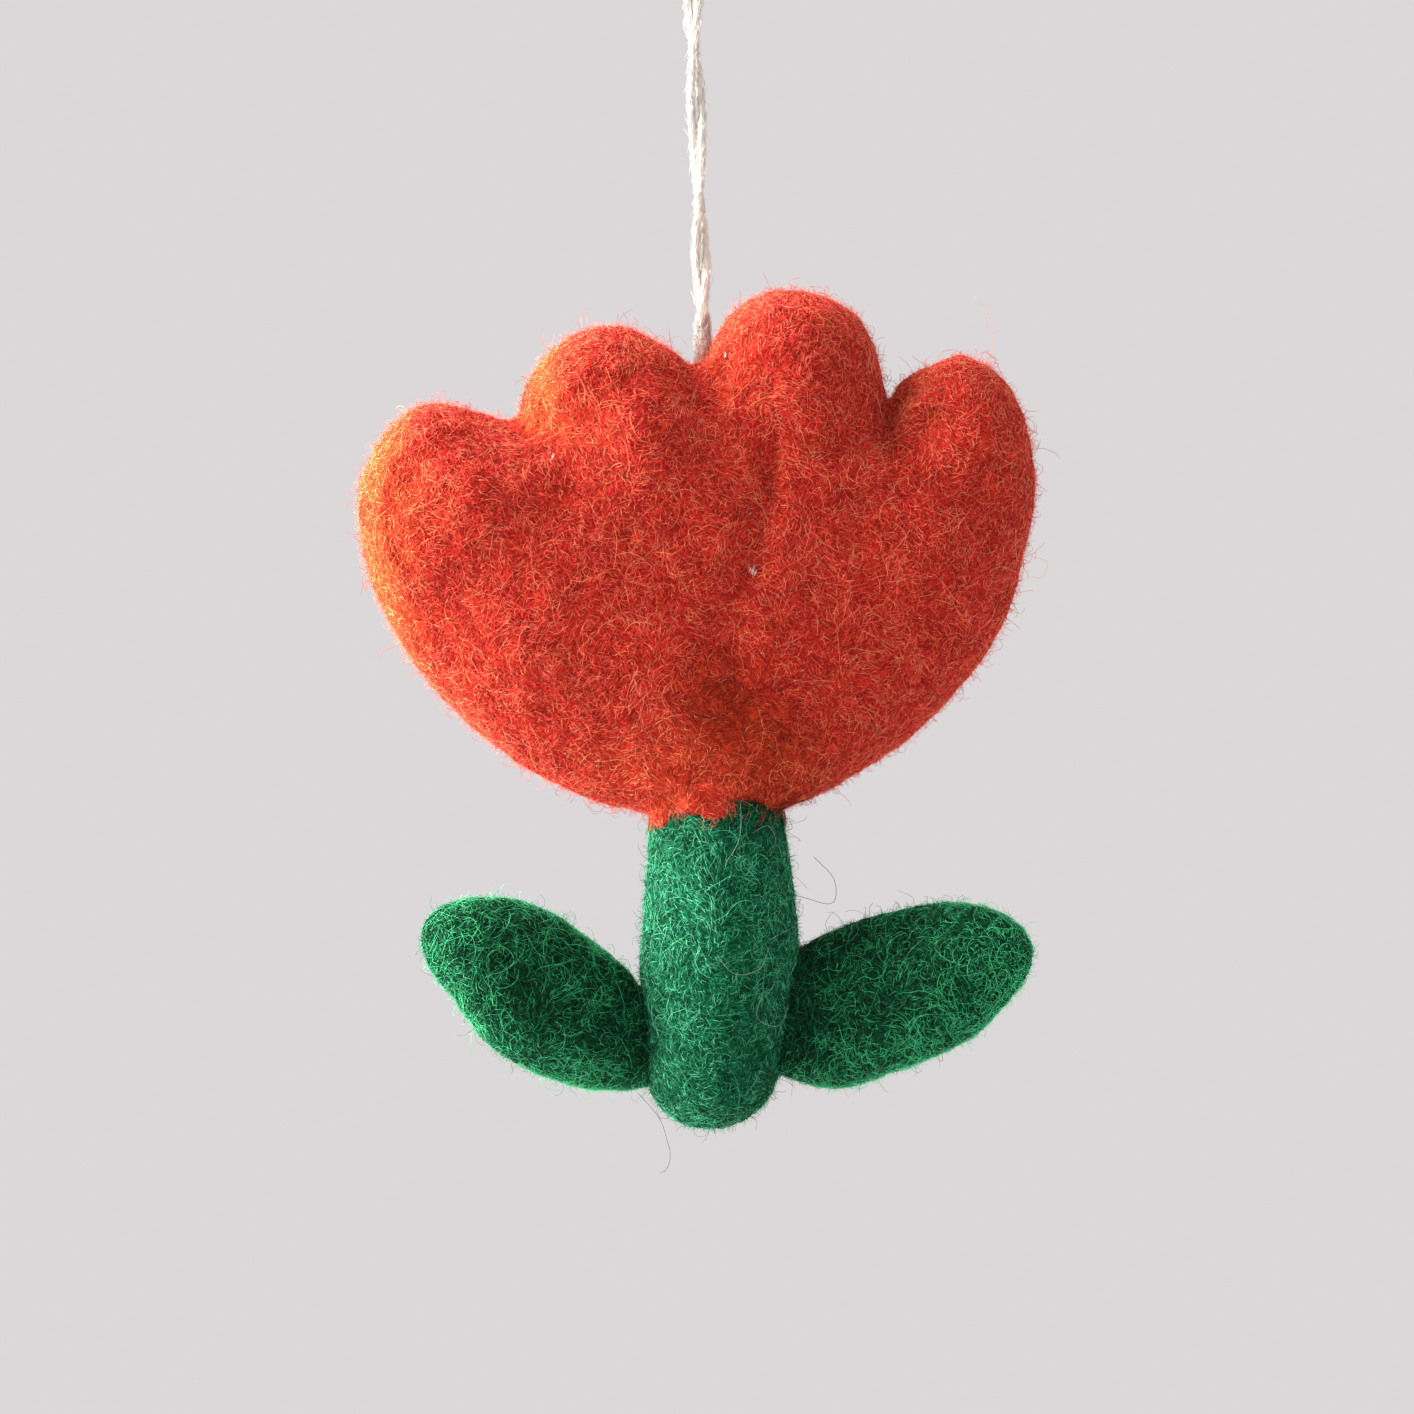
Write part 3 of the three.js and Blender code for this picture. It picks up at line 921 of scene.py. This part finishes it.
# How each leaf lies: its root (x, z), its rise, how far it comes forward, and its touches
LEFT = {
    "side": -1, "root": (-6, -163.4), "pinch": 0.34, "lift": 0.3,
    "cup": 4.2 * (LEAF_RUN / 25) ** 2 - LEFT_ROLL,
    "touches": [(-28.7, -155.5, 5, -1.1), (-19.5, -146, 5, 0.6), (-12, -167.5, 5, -0.5)],
}
RIGHT = {
    "side": 1, "root": (13.2, -156), "pinch": 0.14, "lift": 0.9,
    "cup": 5.4 * (LEAF_RUN / 25) ** 2,
    "touches": [
        (17.5, -147.2, 4, 1), (16.9, -165.5, 3.5, 0.7), (37.2, -155.9, 5, -1.1),
        (40.3, -152, 4.5, -0.5), (32, -145.4, 6, 0.5), (22.5, -166, 4, 0.4),
    ],
}


def felt_leaf(name, node, side, root, pinch, lift, cup, touches):
    leaf = felted(node_copy(name, [node]), voxel=0.45 * MM, grow=0.1 * MM, rounds=6)
    places = vertex_places(leaf)
    places += vertex_normals(leaf) * touched(places, touches)[:, None]
    inset = (places[:, 0] - root[0] * MM) * side
    near = ease(-inset, ROOT_REACH, ROOT_END)
    places[:, 0] -= side * near * ROOT_DRAW * MM
    places[:, 1] *= 1 - ROOT_THINNED * near
    places[:, 1] -= np.interp(inset / MM, LEAF_RUN, cup) * MM + LEAF_FORWARD * (1 - near)
    places[:, 2] += (root[1] * MM - places[:, 2]) * pinch * near**1.45
    places[:, 2] += lift * MM * ease(inset, 2 * MM, 11 * MM)
    set_places(leaf, places)
    dimpled(leaf, 5 * MM, 0.6 * MM)
    dimpled(leaf, 1.8 * MM, 0.25 * MM)
    return leaf


left_leaf = felt_leaf("leaf_left_felt", "leaf_left", **LEFT)
right_leaf = felt_leaf("leaf_right_felt", "leaf_right", **RIGHT)
print("leaves:", [len(leaf.data.polygons) for leaf in (left_leaf, right_leaf)])

# %% [markdown]
# ## Felt finish
#
# Between its fibres, felt shows a darker ground with a fine tangle. Thin curved lines come from a
# noise pattern where it crosses its middle value: they wander and cross like fibres do. Two such
# line patterns and a slow mottling are one node group, which each wool colour uses.

# %% Node group: tangled wool
def tangled_wool():
    group = bpy.data.node_groups.new("tangled_wool", "ShaderNodeTree")
    for way, kind, names in [
        ("INPUT", "NodeSocketColor", ("Ground", "Middle", "Pale")),
        ("OUTPUT", "NodeSocketColor", ("Color",)),
        ("OUTPUT", "NodeSocketFloat", ("Roughness", "Height")),
    ]:
        for name in names:
            group.interface.new_socket(name=name, in_out=way, socket_type=kind)
    given = add_node(group, "NodeGroupInput").node.outputs
    where = add_node(group, "ShaderNodeTexCoord", out="Object")

    def combine(operation, *values):
        return add_node(group, "ShaderNodeMath", *values, operation=operation)

    def noise(place, **values):
        return add_node(group, "ShaderNodeTexNoise", place, out="Fac", **values)

    def lines(scale, seed, width):
        """1 along thin lines, where a noise is near its middle value, and 0 between them."""
        shift = (seed, seed * 0.37, -seed * 0.61)
        place = add_node(group, "ShaderNodeMapping", where, Location=shift)
        wave = noise(place, Scale=scale, Detail=1.5, Distortion=0.6)
        gap = combine("ABSOLUTE", combine("SUBTRACT", wave, 0.5))
        return add_node(
            group, "ShaderNodeMapRange", gap, 0, width, 1, 0, interpolation_type="SMOOTHSTEP"
        )

    fine = combine("MULTIPLY", lines(2100, 7.7, 0.07), 0.8)
    web = combine("MAXIMUM", lines(1100, 3.1, 0.06), fine)
    mottle = noise(where, Scale=330.0, Detail=3.0, Roughness=0.6)
    patches = add_node(group, "ShaderNodeMapRange", mottle, 0.3, 0.7)
    body = add_mix(group, patches, given["Ground"], given["Middle"])
    high, low = combine("MULTIPLY", web, 0.5), combine("MULTIPLY", patches, 0.5)
    add_node(
        group, "NodeGroupOutput",
        Color=add_mix(group, combine("MULTIPLY", web, 0.75), body, given["Pale"]),
        Roughness=combine("SUBTRACT", 0.98, combine("MULTIPLY", web, 0.18)),
        Height=combine("ADD", high, low),
    )
    return group


WOOL = tangled_wool()
print("node group:", WOOL.name)

# %% [markdown]
# ## Wool colours
#
# The head isn't one red: low on its face some brown wool was stabbed in, and orange wool shows as a
# trace. Its left flanks, which face the window, are painted more orange as painted light, and the
# top of the stem under the head's lip is painted darker as painted shadow. How warm the colour is
# at each point is kept as an attribute of the head's mesh, which the finish reads. The fibres use
# the same rule later.

# %% Wool grounds
# Dark spots: brown wool stabbed in low on the face (the first three), and painted shadow on the top
# of the stem under the head's lip (the rest). Each has its place (x, z) and reach in millimetres,
# and its share
BROWN_WOOL_AND_LIP_SHADOW = [
    (3, -119.6, 4.2, 0.42), (8.5, -121.4, 5, 0.32), (14.5, -125, 4, 0.16),
    (8.2, -132.3, 2.6, 0.6), (11.6, -132, 2, 0.5), (-2.4, -132.2, 1.2, 0.5),
    (-0.5, -130, 3, 0.22),
]


def brown_and_lip_shadow(places):
    """The share of dark spots at each place on the front: brown wool low on the face, and painted
    shadow under the head's lip.
    """
    return touched(places, BROWN_WOOL_AND_LIP_SHADOW) / MM * (places[:, 1] < 0)


def red_warmth_and_lit_flank(places, outs):
    """Painted light: more orange where the head faces left, to the window, most on the two left
    lobes. A trace of orange wool elsewhere, more of it low on the face and on the dark spots.
    """
    x, z = places[:, 0] / MM, places[:, 2] / MM
    first_lobe = np.exp(-(((x + 37) / 9) ** 2) - ((z + 98) / 17) ** 2)
    second_lobe = 0.7 * np.exp(-(((x + 17.5) / 6) ** 2) - ((z + 83) / 9) ** 2)
    foot = np.exp(-(((x - 3) / 15) ** 2) - ((z + 127) / 5) ** 2)
    share = np.clip(0.22 + first_lobe + second_lobe, 0, 1)
    # Painted light: surfaces that face left, to the window, are warmer, as the lit side
    lit_flank = ease(-outs[:, 0], 0.1, 0.8) * (1 - 0.45 * ease(-outs[:, 0], 0.8, 1.0))
    return 0.08 + 0.8 * share * lit_flank + 0.22 * foot + 0.5 * brown_and_lip_shadow(places)


def wool_ground(name, ground, middle, pale, warm=None):
    material, tree, shader = new_material(name)
    wool = add_node(
        tree, "ShaderNodeGroup", *(from_srgb(*colour) for colour in (ground, middle, pale)),
        node_tree=WOOL,
    ).node.outputs
    colour = wool["Color"]
    if warm:
        share = add_node(tree, "ShaderNodeAttribute", attribute_name="warmth", out="Fac")
        colour = add_mix(tree, share, colour, from_srgb(*warm))
    bump = add_node(
        tree, "ShaderNodeBump", Strength=0.6, Distance=0.00025, Height=wool["Height"]
    )
    set_inputs(shader, {
        "Base Color": colour, "Normal": bump, "Roughness": wool["Roughness"],
        "Specular IOR Level": 0.1, "Sheen Weight": 0.05, "Sheen Roughness": 0.5,
    })
    return material


# The warmth holds painted light on the left flanks besides the orange and brown wool
share = red_warmth_and_lit_flank(vertex_places(head), vertex_normals(head))
head.data.attributes.new("warmth", "FLOAT", "POINT").data.foreach_set("value", share.astype("f"))
red_ground = wool_ground(
    "red_wool", (120, 10, 9), (170, 22, 18), (240, 64, 44), warm=(214, 82, 28)
)
stem_ground = wool_ground("stem_wool", (0, 40, 22), (2, 68, 40), (26, 140, 92))
leaf_ground = wool_ground("leaf_wool", (0, 22, 12), (0, 40, 23), (10, 94, 54))
GROUNDS = {head: red_ground, stem: stem_ground, left_leaf: leaf_ground, right_leaf: leaf_ground}
for piece, ground in GROUNDS.items():
    piece.data.materials.append(ground)
print("wool colours on", [piece.name for piece in GROUNDS])

# %% [markdown]
# ## On the frame
#
# Head and stem are felted together and move as one. The leaves stay where they are made.

# %% Hang the felt bodies on the frame
# Each leaf, its body, and where its bend starts and ends, in millimetres
ROOTS = {
    "left": (left_leaf, "left_leaf", (-4.0, 0, -158), (-11.0, 0, -156)),
    "right": (right_leaf, "right_leaf", (11.2, 0, -158), (18.2, 0, -156)),
}


def bend_with_leaf(piece):
    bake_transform(piece)


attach(head, "bloom")
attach(stem, "bloom")
bend_with_leaf(left_leaf)
bend_with_leaf(right_leaf)
for piece, slot, nodes in [
    (head, "red_felt", PETALS), (stem, "stem_felt", ["stem"]),
    (left_leaf, "leaf_felt", ["leaf_left"]), (right_leaf, "leaf_felt", ["leaf_right"]),
]:
    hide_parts(*nodes)
    print(f"{piece.name} stands for {', '.join(nodes)}")

# %% [markdown]
# ## Core
#
# Felters build a thick shape on a core of cheap undyed wool. It is inside the head and doesn't
# show, so it gets the felt's finish and no fibres.

# %% Core of undyed wool
core = node_copy("flower_core_wool", ["flower_core"])
core = felted(core, voxel=0.8 * MM, grow=0.1 * MM, rounds=4)
dimpled(core, 4 * MM, 1.0 * MM)
core.data.materials.append(
    wool_ground("undyed_wool", (214, 200, 176), (230, 219, 198), (244, 238, 226))
)
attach(core, "bloom")
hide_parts("flower_core")
print(f"core of {len(core.data.polygons)} faces")

# %% [markdown]
# ## Wool fibres
#
# The felt's coat has a dense mat of short fibres, curls that creep over it, a few long pale
# strands, and a halo of fine ends that stand off, some of them long. Wool lies in wisps, so the
# fibres follow a slow random flow over the body with some tangle. Dark and bright fibres lie side
# by side, which gives the felt its grain. The fibres' colours also hold painted light and shade:
# they are paler on rims, where light comes through the wool, on the head's upper faces, on the
# leaves' undersides and on the right leaf's tip, and darker low on the stem and on its sides, at
# the leaves' roots and under the head's lip. Green fibres also glow a little inside.

# %% Places and directions on a body
def scattered(piece, count):
    """Random places all over a piece, even by area, with the directions out of it."""
    mesh = piece.data
    mesh.calc_loop_triangles()
    corners = np.empty(len(mesh.loop_triangles) * 3, dtype=np.int32)
    mesh.loop_triangles.foreach_get("vertices", corners)
    corners = corners.reshape(-1, 3)
    spots, normals = vertex_places(piece), vertex_normals(piece)
    a, b, c = spots[corners].transpose(1, 0, 2)
    area = np.linalg.norm(np.cross(b - a, c - a), axis=1)
    pick = chance.choice(len(area), count, p=area / area.sum())
    s, t = chance.random((2, count, 1))
    fold = s + t > 1
    s, t = np.where(fold, 1 - s, s), np.where(fold, 1 - t, t)
    outs = unit(normals[corners[pick]].sum(axis=1))
    return a[pick] + s * (b - a)[pick] + t * (c - a)[pick], outs


SIDEWAYS = (0.45, 0, 0)
FLOW = [wave_field(seed, 5, 16) for seed in (31, 32, 33)]
MOTTLE = wave_field(34, 1.6, 7, waves=24)


def combed(places, outs, tangle):
    """Directions along the surface, partly with the flow of the wool and partly any way."""
    flow = np.stack([field(places) for field in FLOW], axis=1) + SIDEWAYS
    return unit(np.cross(outs, flow + chance.normal(0, tangle, places.shape)))


def on_surface(tree, points):
    """The nearest places on a felt body and the directions out of it."""
    found = [tree.find_nearest(point)[:2] for point in points.tolist()]
    flat = np.array([[*place, *normal] for place, normal in found])
    return flat[:, :3], flat[:, 3:]


def turned(vectors, axes, angles):
    """Each vector, which is square to its axis, turned about it."""
    return vectors * np.cos(angles)[:, None] + np.cross(axes, vectors) * np.sin(angles)[:, None]


# %% Curls and loose ends
ROOT_DEPTH = 0.08 * MM


def creeping(tree, roots, outs, lengths, steps, curl, lift):
    """Fibres that creep over a body, curling as they go, and rise in the middle."""
    count = len(roots)
    place, out = roots, outs
    way = combed(roots, outs, 0.9)
    bend = chance.normal(0, curl, count)
    rise = lift * chance.uniform(0.2, 1.0, count)
    stations = []
    for step in range(steps + 1):
        height = rise * math.sin(math.pi * step / steps) - TUCK
        stations.append(place + out * height[:, None])
        way = turned(way, out, bend + chance.normal(0, curl * 0.6, count))
        place, out = on_surface(tree, place + way * (lengths / steps)[:, None])
        way = unit(way - out * np.sum(way * out, axis=1, keepdims=True))
    return np.stack(stations, axis=1)


def standing(roots, outs, lengths, steps, lean, curl):
    """Loose ends that leave the body and curl in the air."""
    way = unit(outs + chance.normal(0, lean, roots.shape))
    bend = chance.normal(0, curl, roots.shape)
    place = roots - outs * ROOT_DEPTH
    stations = []
    for _ in range(steps + 1):
        stations.append(place)
        place = place + way * (lengths / steps)[:, None]
        way = unit(way + np.cross(bend, way) + chance.normal(0, curl * 0.35, way.shape))
    return np.stack(stations, axis=1)


# %% Colours of wool fibres
red_fibre = fibre_material(
    "red_fibre",
    ((156, 13, 21), (255, 56, 62), (255, 142, 112)),
    ((116, 33, 15), (255, 121, 62), (255, 196, 116)),
)
stem_fibre = fibre_material(
    "stem_fibre",
    ((0, 28, 16), (2, 116, 68), (96, 246, 180)),
    ((1, 36, 16), (10, 124, 62), (140, 250, 172)),
    glow=0.25,
)
leaf_fibre = fibre_material(
    "leaf_fibre",
    ((0, 14, 8), (1, 64, 36), (60, 224, 142)),
    ((1, 20, 8), (6, 72, 31), (96, 228, 128)),
    glow=0.25,
)
print("fibre finishes:", red_fibre.name, stem_fibre.name, leaf_fibre.name)

# %% Lay the coats
def wool_coat(piece, mat, curls, strands, halo, warmth_at, painted_shading, share=0.34):
    """Groups of fibres for one body, from how many of each kind there are.

    At places on the body, one function gives the warmth, which on the head holds painted light on
    its left flanks, and the other an added paleness, which is painted light and shade. The share of
    the mat's fibres is bright. Lengths and radii below are in millimetres.
    """
    tree = BVHTree.FromObject(piece, bpy.context.evaluated_depsgraph_get())
    groups = []

    def sown(count, shortest, longest):
        places, outs = scattered(piece, count)
        return places, outs, chance.uniform(shortest, longest, count) * MM

    def two_tone(count, share, bright, dark):
        return np.where(chance.random(count) < share, bright, dark)

    def add(stations, places, outs, radii, pale, spread):
        count = len(places)
        radius = chance.uniform(*radii, count) * MM
        tint = pale + 0.08 * MOTTLE(places) + chance.normal(0, spread, count)
        # Darker on brown wool and in the painted shadow under the head's lip, and paler or darker
        # by the body's painted light and shade
        tint = tint - brown_and_lip_shadow(places) * chance.uniform(0.0, 3.0, count) + painted_shading(places, outs)
        warm = warmth_at(places, outs) + chance.normal(0, 0.14, count)
        warm = warm + 0.45 * (chance.random(count) < 0.1)
        groups.append((stations, radius, np.clip(tint, 0, 1), np.clip(warm, 0, 1)))

    places, outs = scattered(piece, mat)
    ways = combed(places, outs, 0.8)
    lengths = chance.uniform(0.9, 2.3, mat) * MM
    lain = needles(places, outs, ways, lengths, 0.22 * MM)
    add(lain, places, outs, (0.025, 0.044), two_tone(mat, share, 0.95, 0.25), 0.15)
    places, outs, lengths = sown(curls, 1.8, 3.6)
    lain = creeping(tree, places, outs, lengths, steps=4, curl=0.5, lift=0.22 * MM)
    add(lain, places, outs, (0.026, 0.042), two_tone(curls, 0.6, 0.85, 0.15), 0.12)
    places, outs, lengths = sown(strands, 3.0, 7.0)
    lain = creeping(tree, places, outs, lengths, steps=8, curl=0.36, lift=0.4 * MM)
    add(lain, places, outs, (0.02, 0.03), 0.95, 0.1)
    places, outs, lengths = sown(halo, 0.5, 1.7)
    free = standing(places, outs, lengths, steps=2, lean=0.9, curl=0.9)
    add(free, places, outs, (0.016, 0.028), 0.42, 0.22)
    places, outs, lengths = sown(halo // 20, 2.0, 4.5)
    free = standing(places, outs, lengths, steps=5, lean=0.8, curl=0.75)
    add(free, places, outs, (0.02, 0.03), 0.3, 0.22)
    return groups


def green_warmth(places, outs):
    return np.full(len(places), 0.2)


def edge(outs):
    """1 on the rim of a flat body and 0 on its faces: where fibres are painted paler, as painted
    light that comes through the wool at a rim.
    """
    return ease(1 - np.abs(outs[:, 1]), 0.2, 0.75)


def head_painted_light(places, outs):
    # Painted light: paler on the rim and on faces that turn upwards
    return 0.12 * edge(outs) + 0.1 * ease(outs[:, 2], 0.2, 0.8)


def stem_painted_shade(places, outs):
    # Painted shade: darker low on the stem, where the leaves shade it, and on both its sides
    low = ease(-places[:, 2], 148 * MM, 166 * MM)
    sides = ease(outs[:, 0], -0.15, 0.45) + ease(-outs[:, 0], 0.25, 0.6)
    return -0.17 * low - 0.09 * sides


def leaf_painted_shading(places, outs):
    # Painted light and shade: paler on rims (less on rims that face left), on undersides and on the
    # right leaf's tip, out of the stem's shadow; darker over the left leaf but for its tip, and at
    # both roots, in the crease by the stem
    x = places[:, 0] / MM
    root = np.where(x > 0, 1 - ease(x, 13.5, 16.5), 1 - ease(-x, 7, 9.5))
    right_tip = 0.42 * ease(x, 28, 36) - 0.07
    left_tip = -0.12 * ease(-x, 8, 20) + 0.22 * ease(-x, 23, 27)
    rim = (0.5 - 0.6 * ease(-outs[:, 0], 0.1, 0.6)) * edge(outs)
    under = 0.33 * ease(-outs[:, 2], 0.1, 0.5)
    return rim + under + np.where(x > 0, right_tip, left_tip) - 0.28 * root


def on_leaf():
    def hang(piece):
        bend_with_leaf(piece)
    return hang


coat = wool_coat(head, 96_000, 9000, 1100, 46_000, red_warmth_and_lit_flank, head_painted_light)
fibre_pieces("head_fibres", coat, red_fibre, hung_on("bloom"))
coat = wool_coat(stem, 27_000, 2600, 480, 9300, green_warmth, stem_painted_shade)
fibre_pieces("stem_fibres", coat, stem_fibre, hung_on("bloom"))
for side in ("left", "right"):
    leaf = ROOTS[side][0]
    coat = wool_coat(leaf, 11_800, 1200, 400, 5600, green_warmth, leaf_painted_shading, share=0.23)
    fibre_pieces(f"leaf_{side}_fibres", coat, leaf_fibre, on_leaf())

# %% [markdown]
# ## Wisps and stray fibres
#
# Where the head meets the stem, red wool hangs over the green in thin wisps. They start under the
# head's edge and creep down the stem. A few long fibres have come loose elsewhere, and specks of
# lint cling to the face. Their routes are given as places seen from the front, and each lies on
# the felt, or free where there is none.

# %% Lay single fibres
# Routes of single fibres (x, z) in millimetres
RED_STRAYS = [
    [(35.2, -81.5), (36.3, -77), (35.6, -73.6), (34, -71.6)],
    [(-8.5, -99.3), (-8.2, -101.5), (-8.6, -104.9)],
    [(-0.8, -81), (-1.4, -83), (-0.9, -84.4), (-1.9, -85.8)],
    [(2, -84), (3.8, -85.2), (5.6, -85.4)],
    [(-2.9, -77.2), (-1.2, -76.4), (0.3, -78)],
    [(40.5, -102.5), (42.8, -103.4), (42.2, -105.2), (40.8, -105)],
]
GREEN_STRAYS = [
    [
        (-6.1, -166.4), (-3.3, -169.8), (-2.5, -172.2), (-2.1, -174), (-2.6, -175.8),
        (-3.6, -176.2),
    ],
    [(6.5, -141.5), (13.1, -143), (17.2, -143.8), (17.4, -141.2), (14.8, -138.2)],
]
PALE_STRAYS = [
    [(6.2, -131.4), (6, -136.2), (4.3, -139.1)],
    [(7.5, -135.4), (9.5, -134.6), (10.4, -136.6), (9.2, -137.8)],
    [(3.4, -149.5), (5.5, -151.8), (8.5, -151.2), (9.6, -148.6)],
    [(9.5, -148), (11.5, -147), (13.5, -146.4)],
    [(9, -153.5), (8.2, -157), (10.8, -158.2), (12, -155.6)],
]
# Specks of lint: where, how many bits, and how pale
SPECKS = [(-15.8, -90.9, 3, 0.35), (7.5, -104.4, 8, 1.0), (4.4, -79.0, 3, 0.9)]
FRONT = -0.05
STRAY_LIFT = 0.4 * MM


def felt_tree(*pieces):
    """The surfaces of several felt bodies as one, for laying fibres on."""
    places, faces = [], []
    for piece in pieces:
        start = len(places)
        places += vertex_places(piece).tolist()
        faces += [[start + v for v in face.vertices] for face in piece.data.polygons]
    return BVHTree.FromPolygons(places, faces)


felt = felt_tree(head, stem, left_leaf, right_leaf)


def single(route, radius, pale, warm, spacing=0.45 * MM):
    """One fibre along (x, z) places: on the felt, or beside it at its last depth."""
    path, _ = smooth_route(np.array([(x, 0, z) for x, z in route]) * MM, spacing)
    depth = 0.0
    for place in path:
        hit = felt.ray_cast((place[0], FRONT, place[2]), (0, 1, 0))[0]
        depth = hit.y - STRAY_LIFT if hit else depth
        place[1] = depth
    path[1:-1, 1] = np.convolve(path[:, 1], np.ones(3) / 3, mode="valid")
    return path[None], np.array([radius * MM]), np.array([pale]), np.array([warm])


print("single fibres:", len(RED_STRAYS), len(GREEN_STRAYS), len(PALE_STRAYS))

# %% Wisps over the stem
WISPS = 700
STEM_RADIUS = 9.5 * MM
COLLAR_X, COLLAR_Z = 3.6 * MM, -131.6

turn = chance.uniform(0, 2 * math.pi, WISPS)
# The right of the front has hardly any
bare = (np.sin(turn) < 0) & (np.cos(turn) > 0.25) & (chance.random(WISPS) < 0.85)
turn = np.where(bare, turn - math.pi, turn)
height = (COLLAR_Z + 1.1 * np.sin(3 * turn + 0.6) * 0.6 + chance.normal(0, 0.5, WISPS)) * MM
around = np.stack([
    COLLAR_X + STEM_RADIUS * np.cos(turn), STEM_RADIUS * np.sin(turn), height,
], axis=1)
stem_tree = felt_tree(stem)
roots, outs = on_surface(stem_tree, around)
wisps = [roots + outs * 0.5 * MM]
lengths = chance.uniform(0.9, 2.6, WISPS) * MM
lean = chance.normal(0, 0.45, WISPS)
sideways = np.cross(outs, (0, 0, 1))
for step in range(3):
    lean = lean + chance.normal(0, 0.4, WISPS)
    way = unit(sideways * lean[:, None] - (0, 0, 1))
    place, out = on_surface(stem_tree, wisps[-1] + way * (lengths / 3)[:, None])
    wisps.append(place + out * (0.42 - 0.1 * step) * MM)
tint = np.clip(chance.normal(0.45, 0.25, WISPS), 0, 1)
warm = np.clip(chance.normal(0.2, 0.2, WISPS), 0, 1)
wisps = (np.stack(wisps, axis=1), chance.uniform(0.02, 0.036, WISPS) * MM, tint, warm)
red = [wisps, *(single(route, 0.022, 0.9, 0.5) for route in RED_STRAYS)]
fibre_pieces("red_wisps", red, red_fibre, hung_on("bloom"))

# %% Strays and lint
green = [single(route, 0.034, 0.05, 0.5) for route in GREEN_STRAYS]
fibre_pieces("green_strays", green, stem_fibre, hung_on("bloom"))
lint = [single(route, 0.014, 1.0, 0.0) for route in PALE_STRAYS]
for x, z, bits, pale in SPECKS:
    for dx, dz in chance.normal(0, 0.03 * bits, (bits, 2)):
        route = [(x + dx, z + dz), (x + dx + 0.15, z + dz - 0.4), (x + dx - 0.1, z + dz - 0.7)]
        lint.append(single(route, 0.045, pale, 0.0, 0.2 * MM))
fibre_pieces("lint", lint, cotton_fibre, hung_on("bloom"))
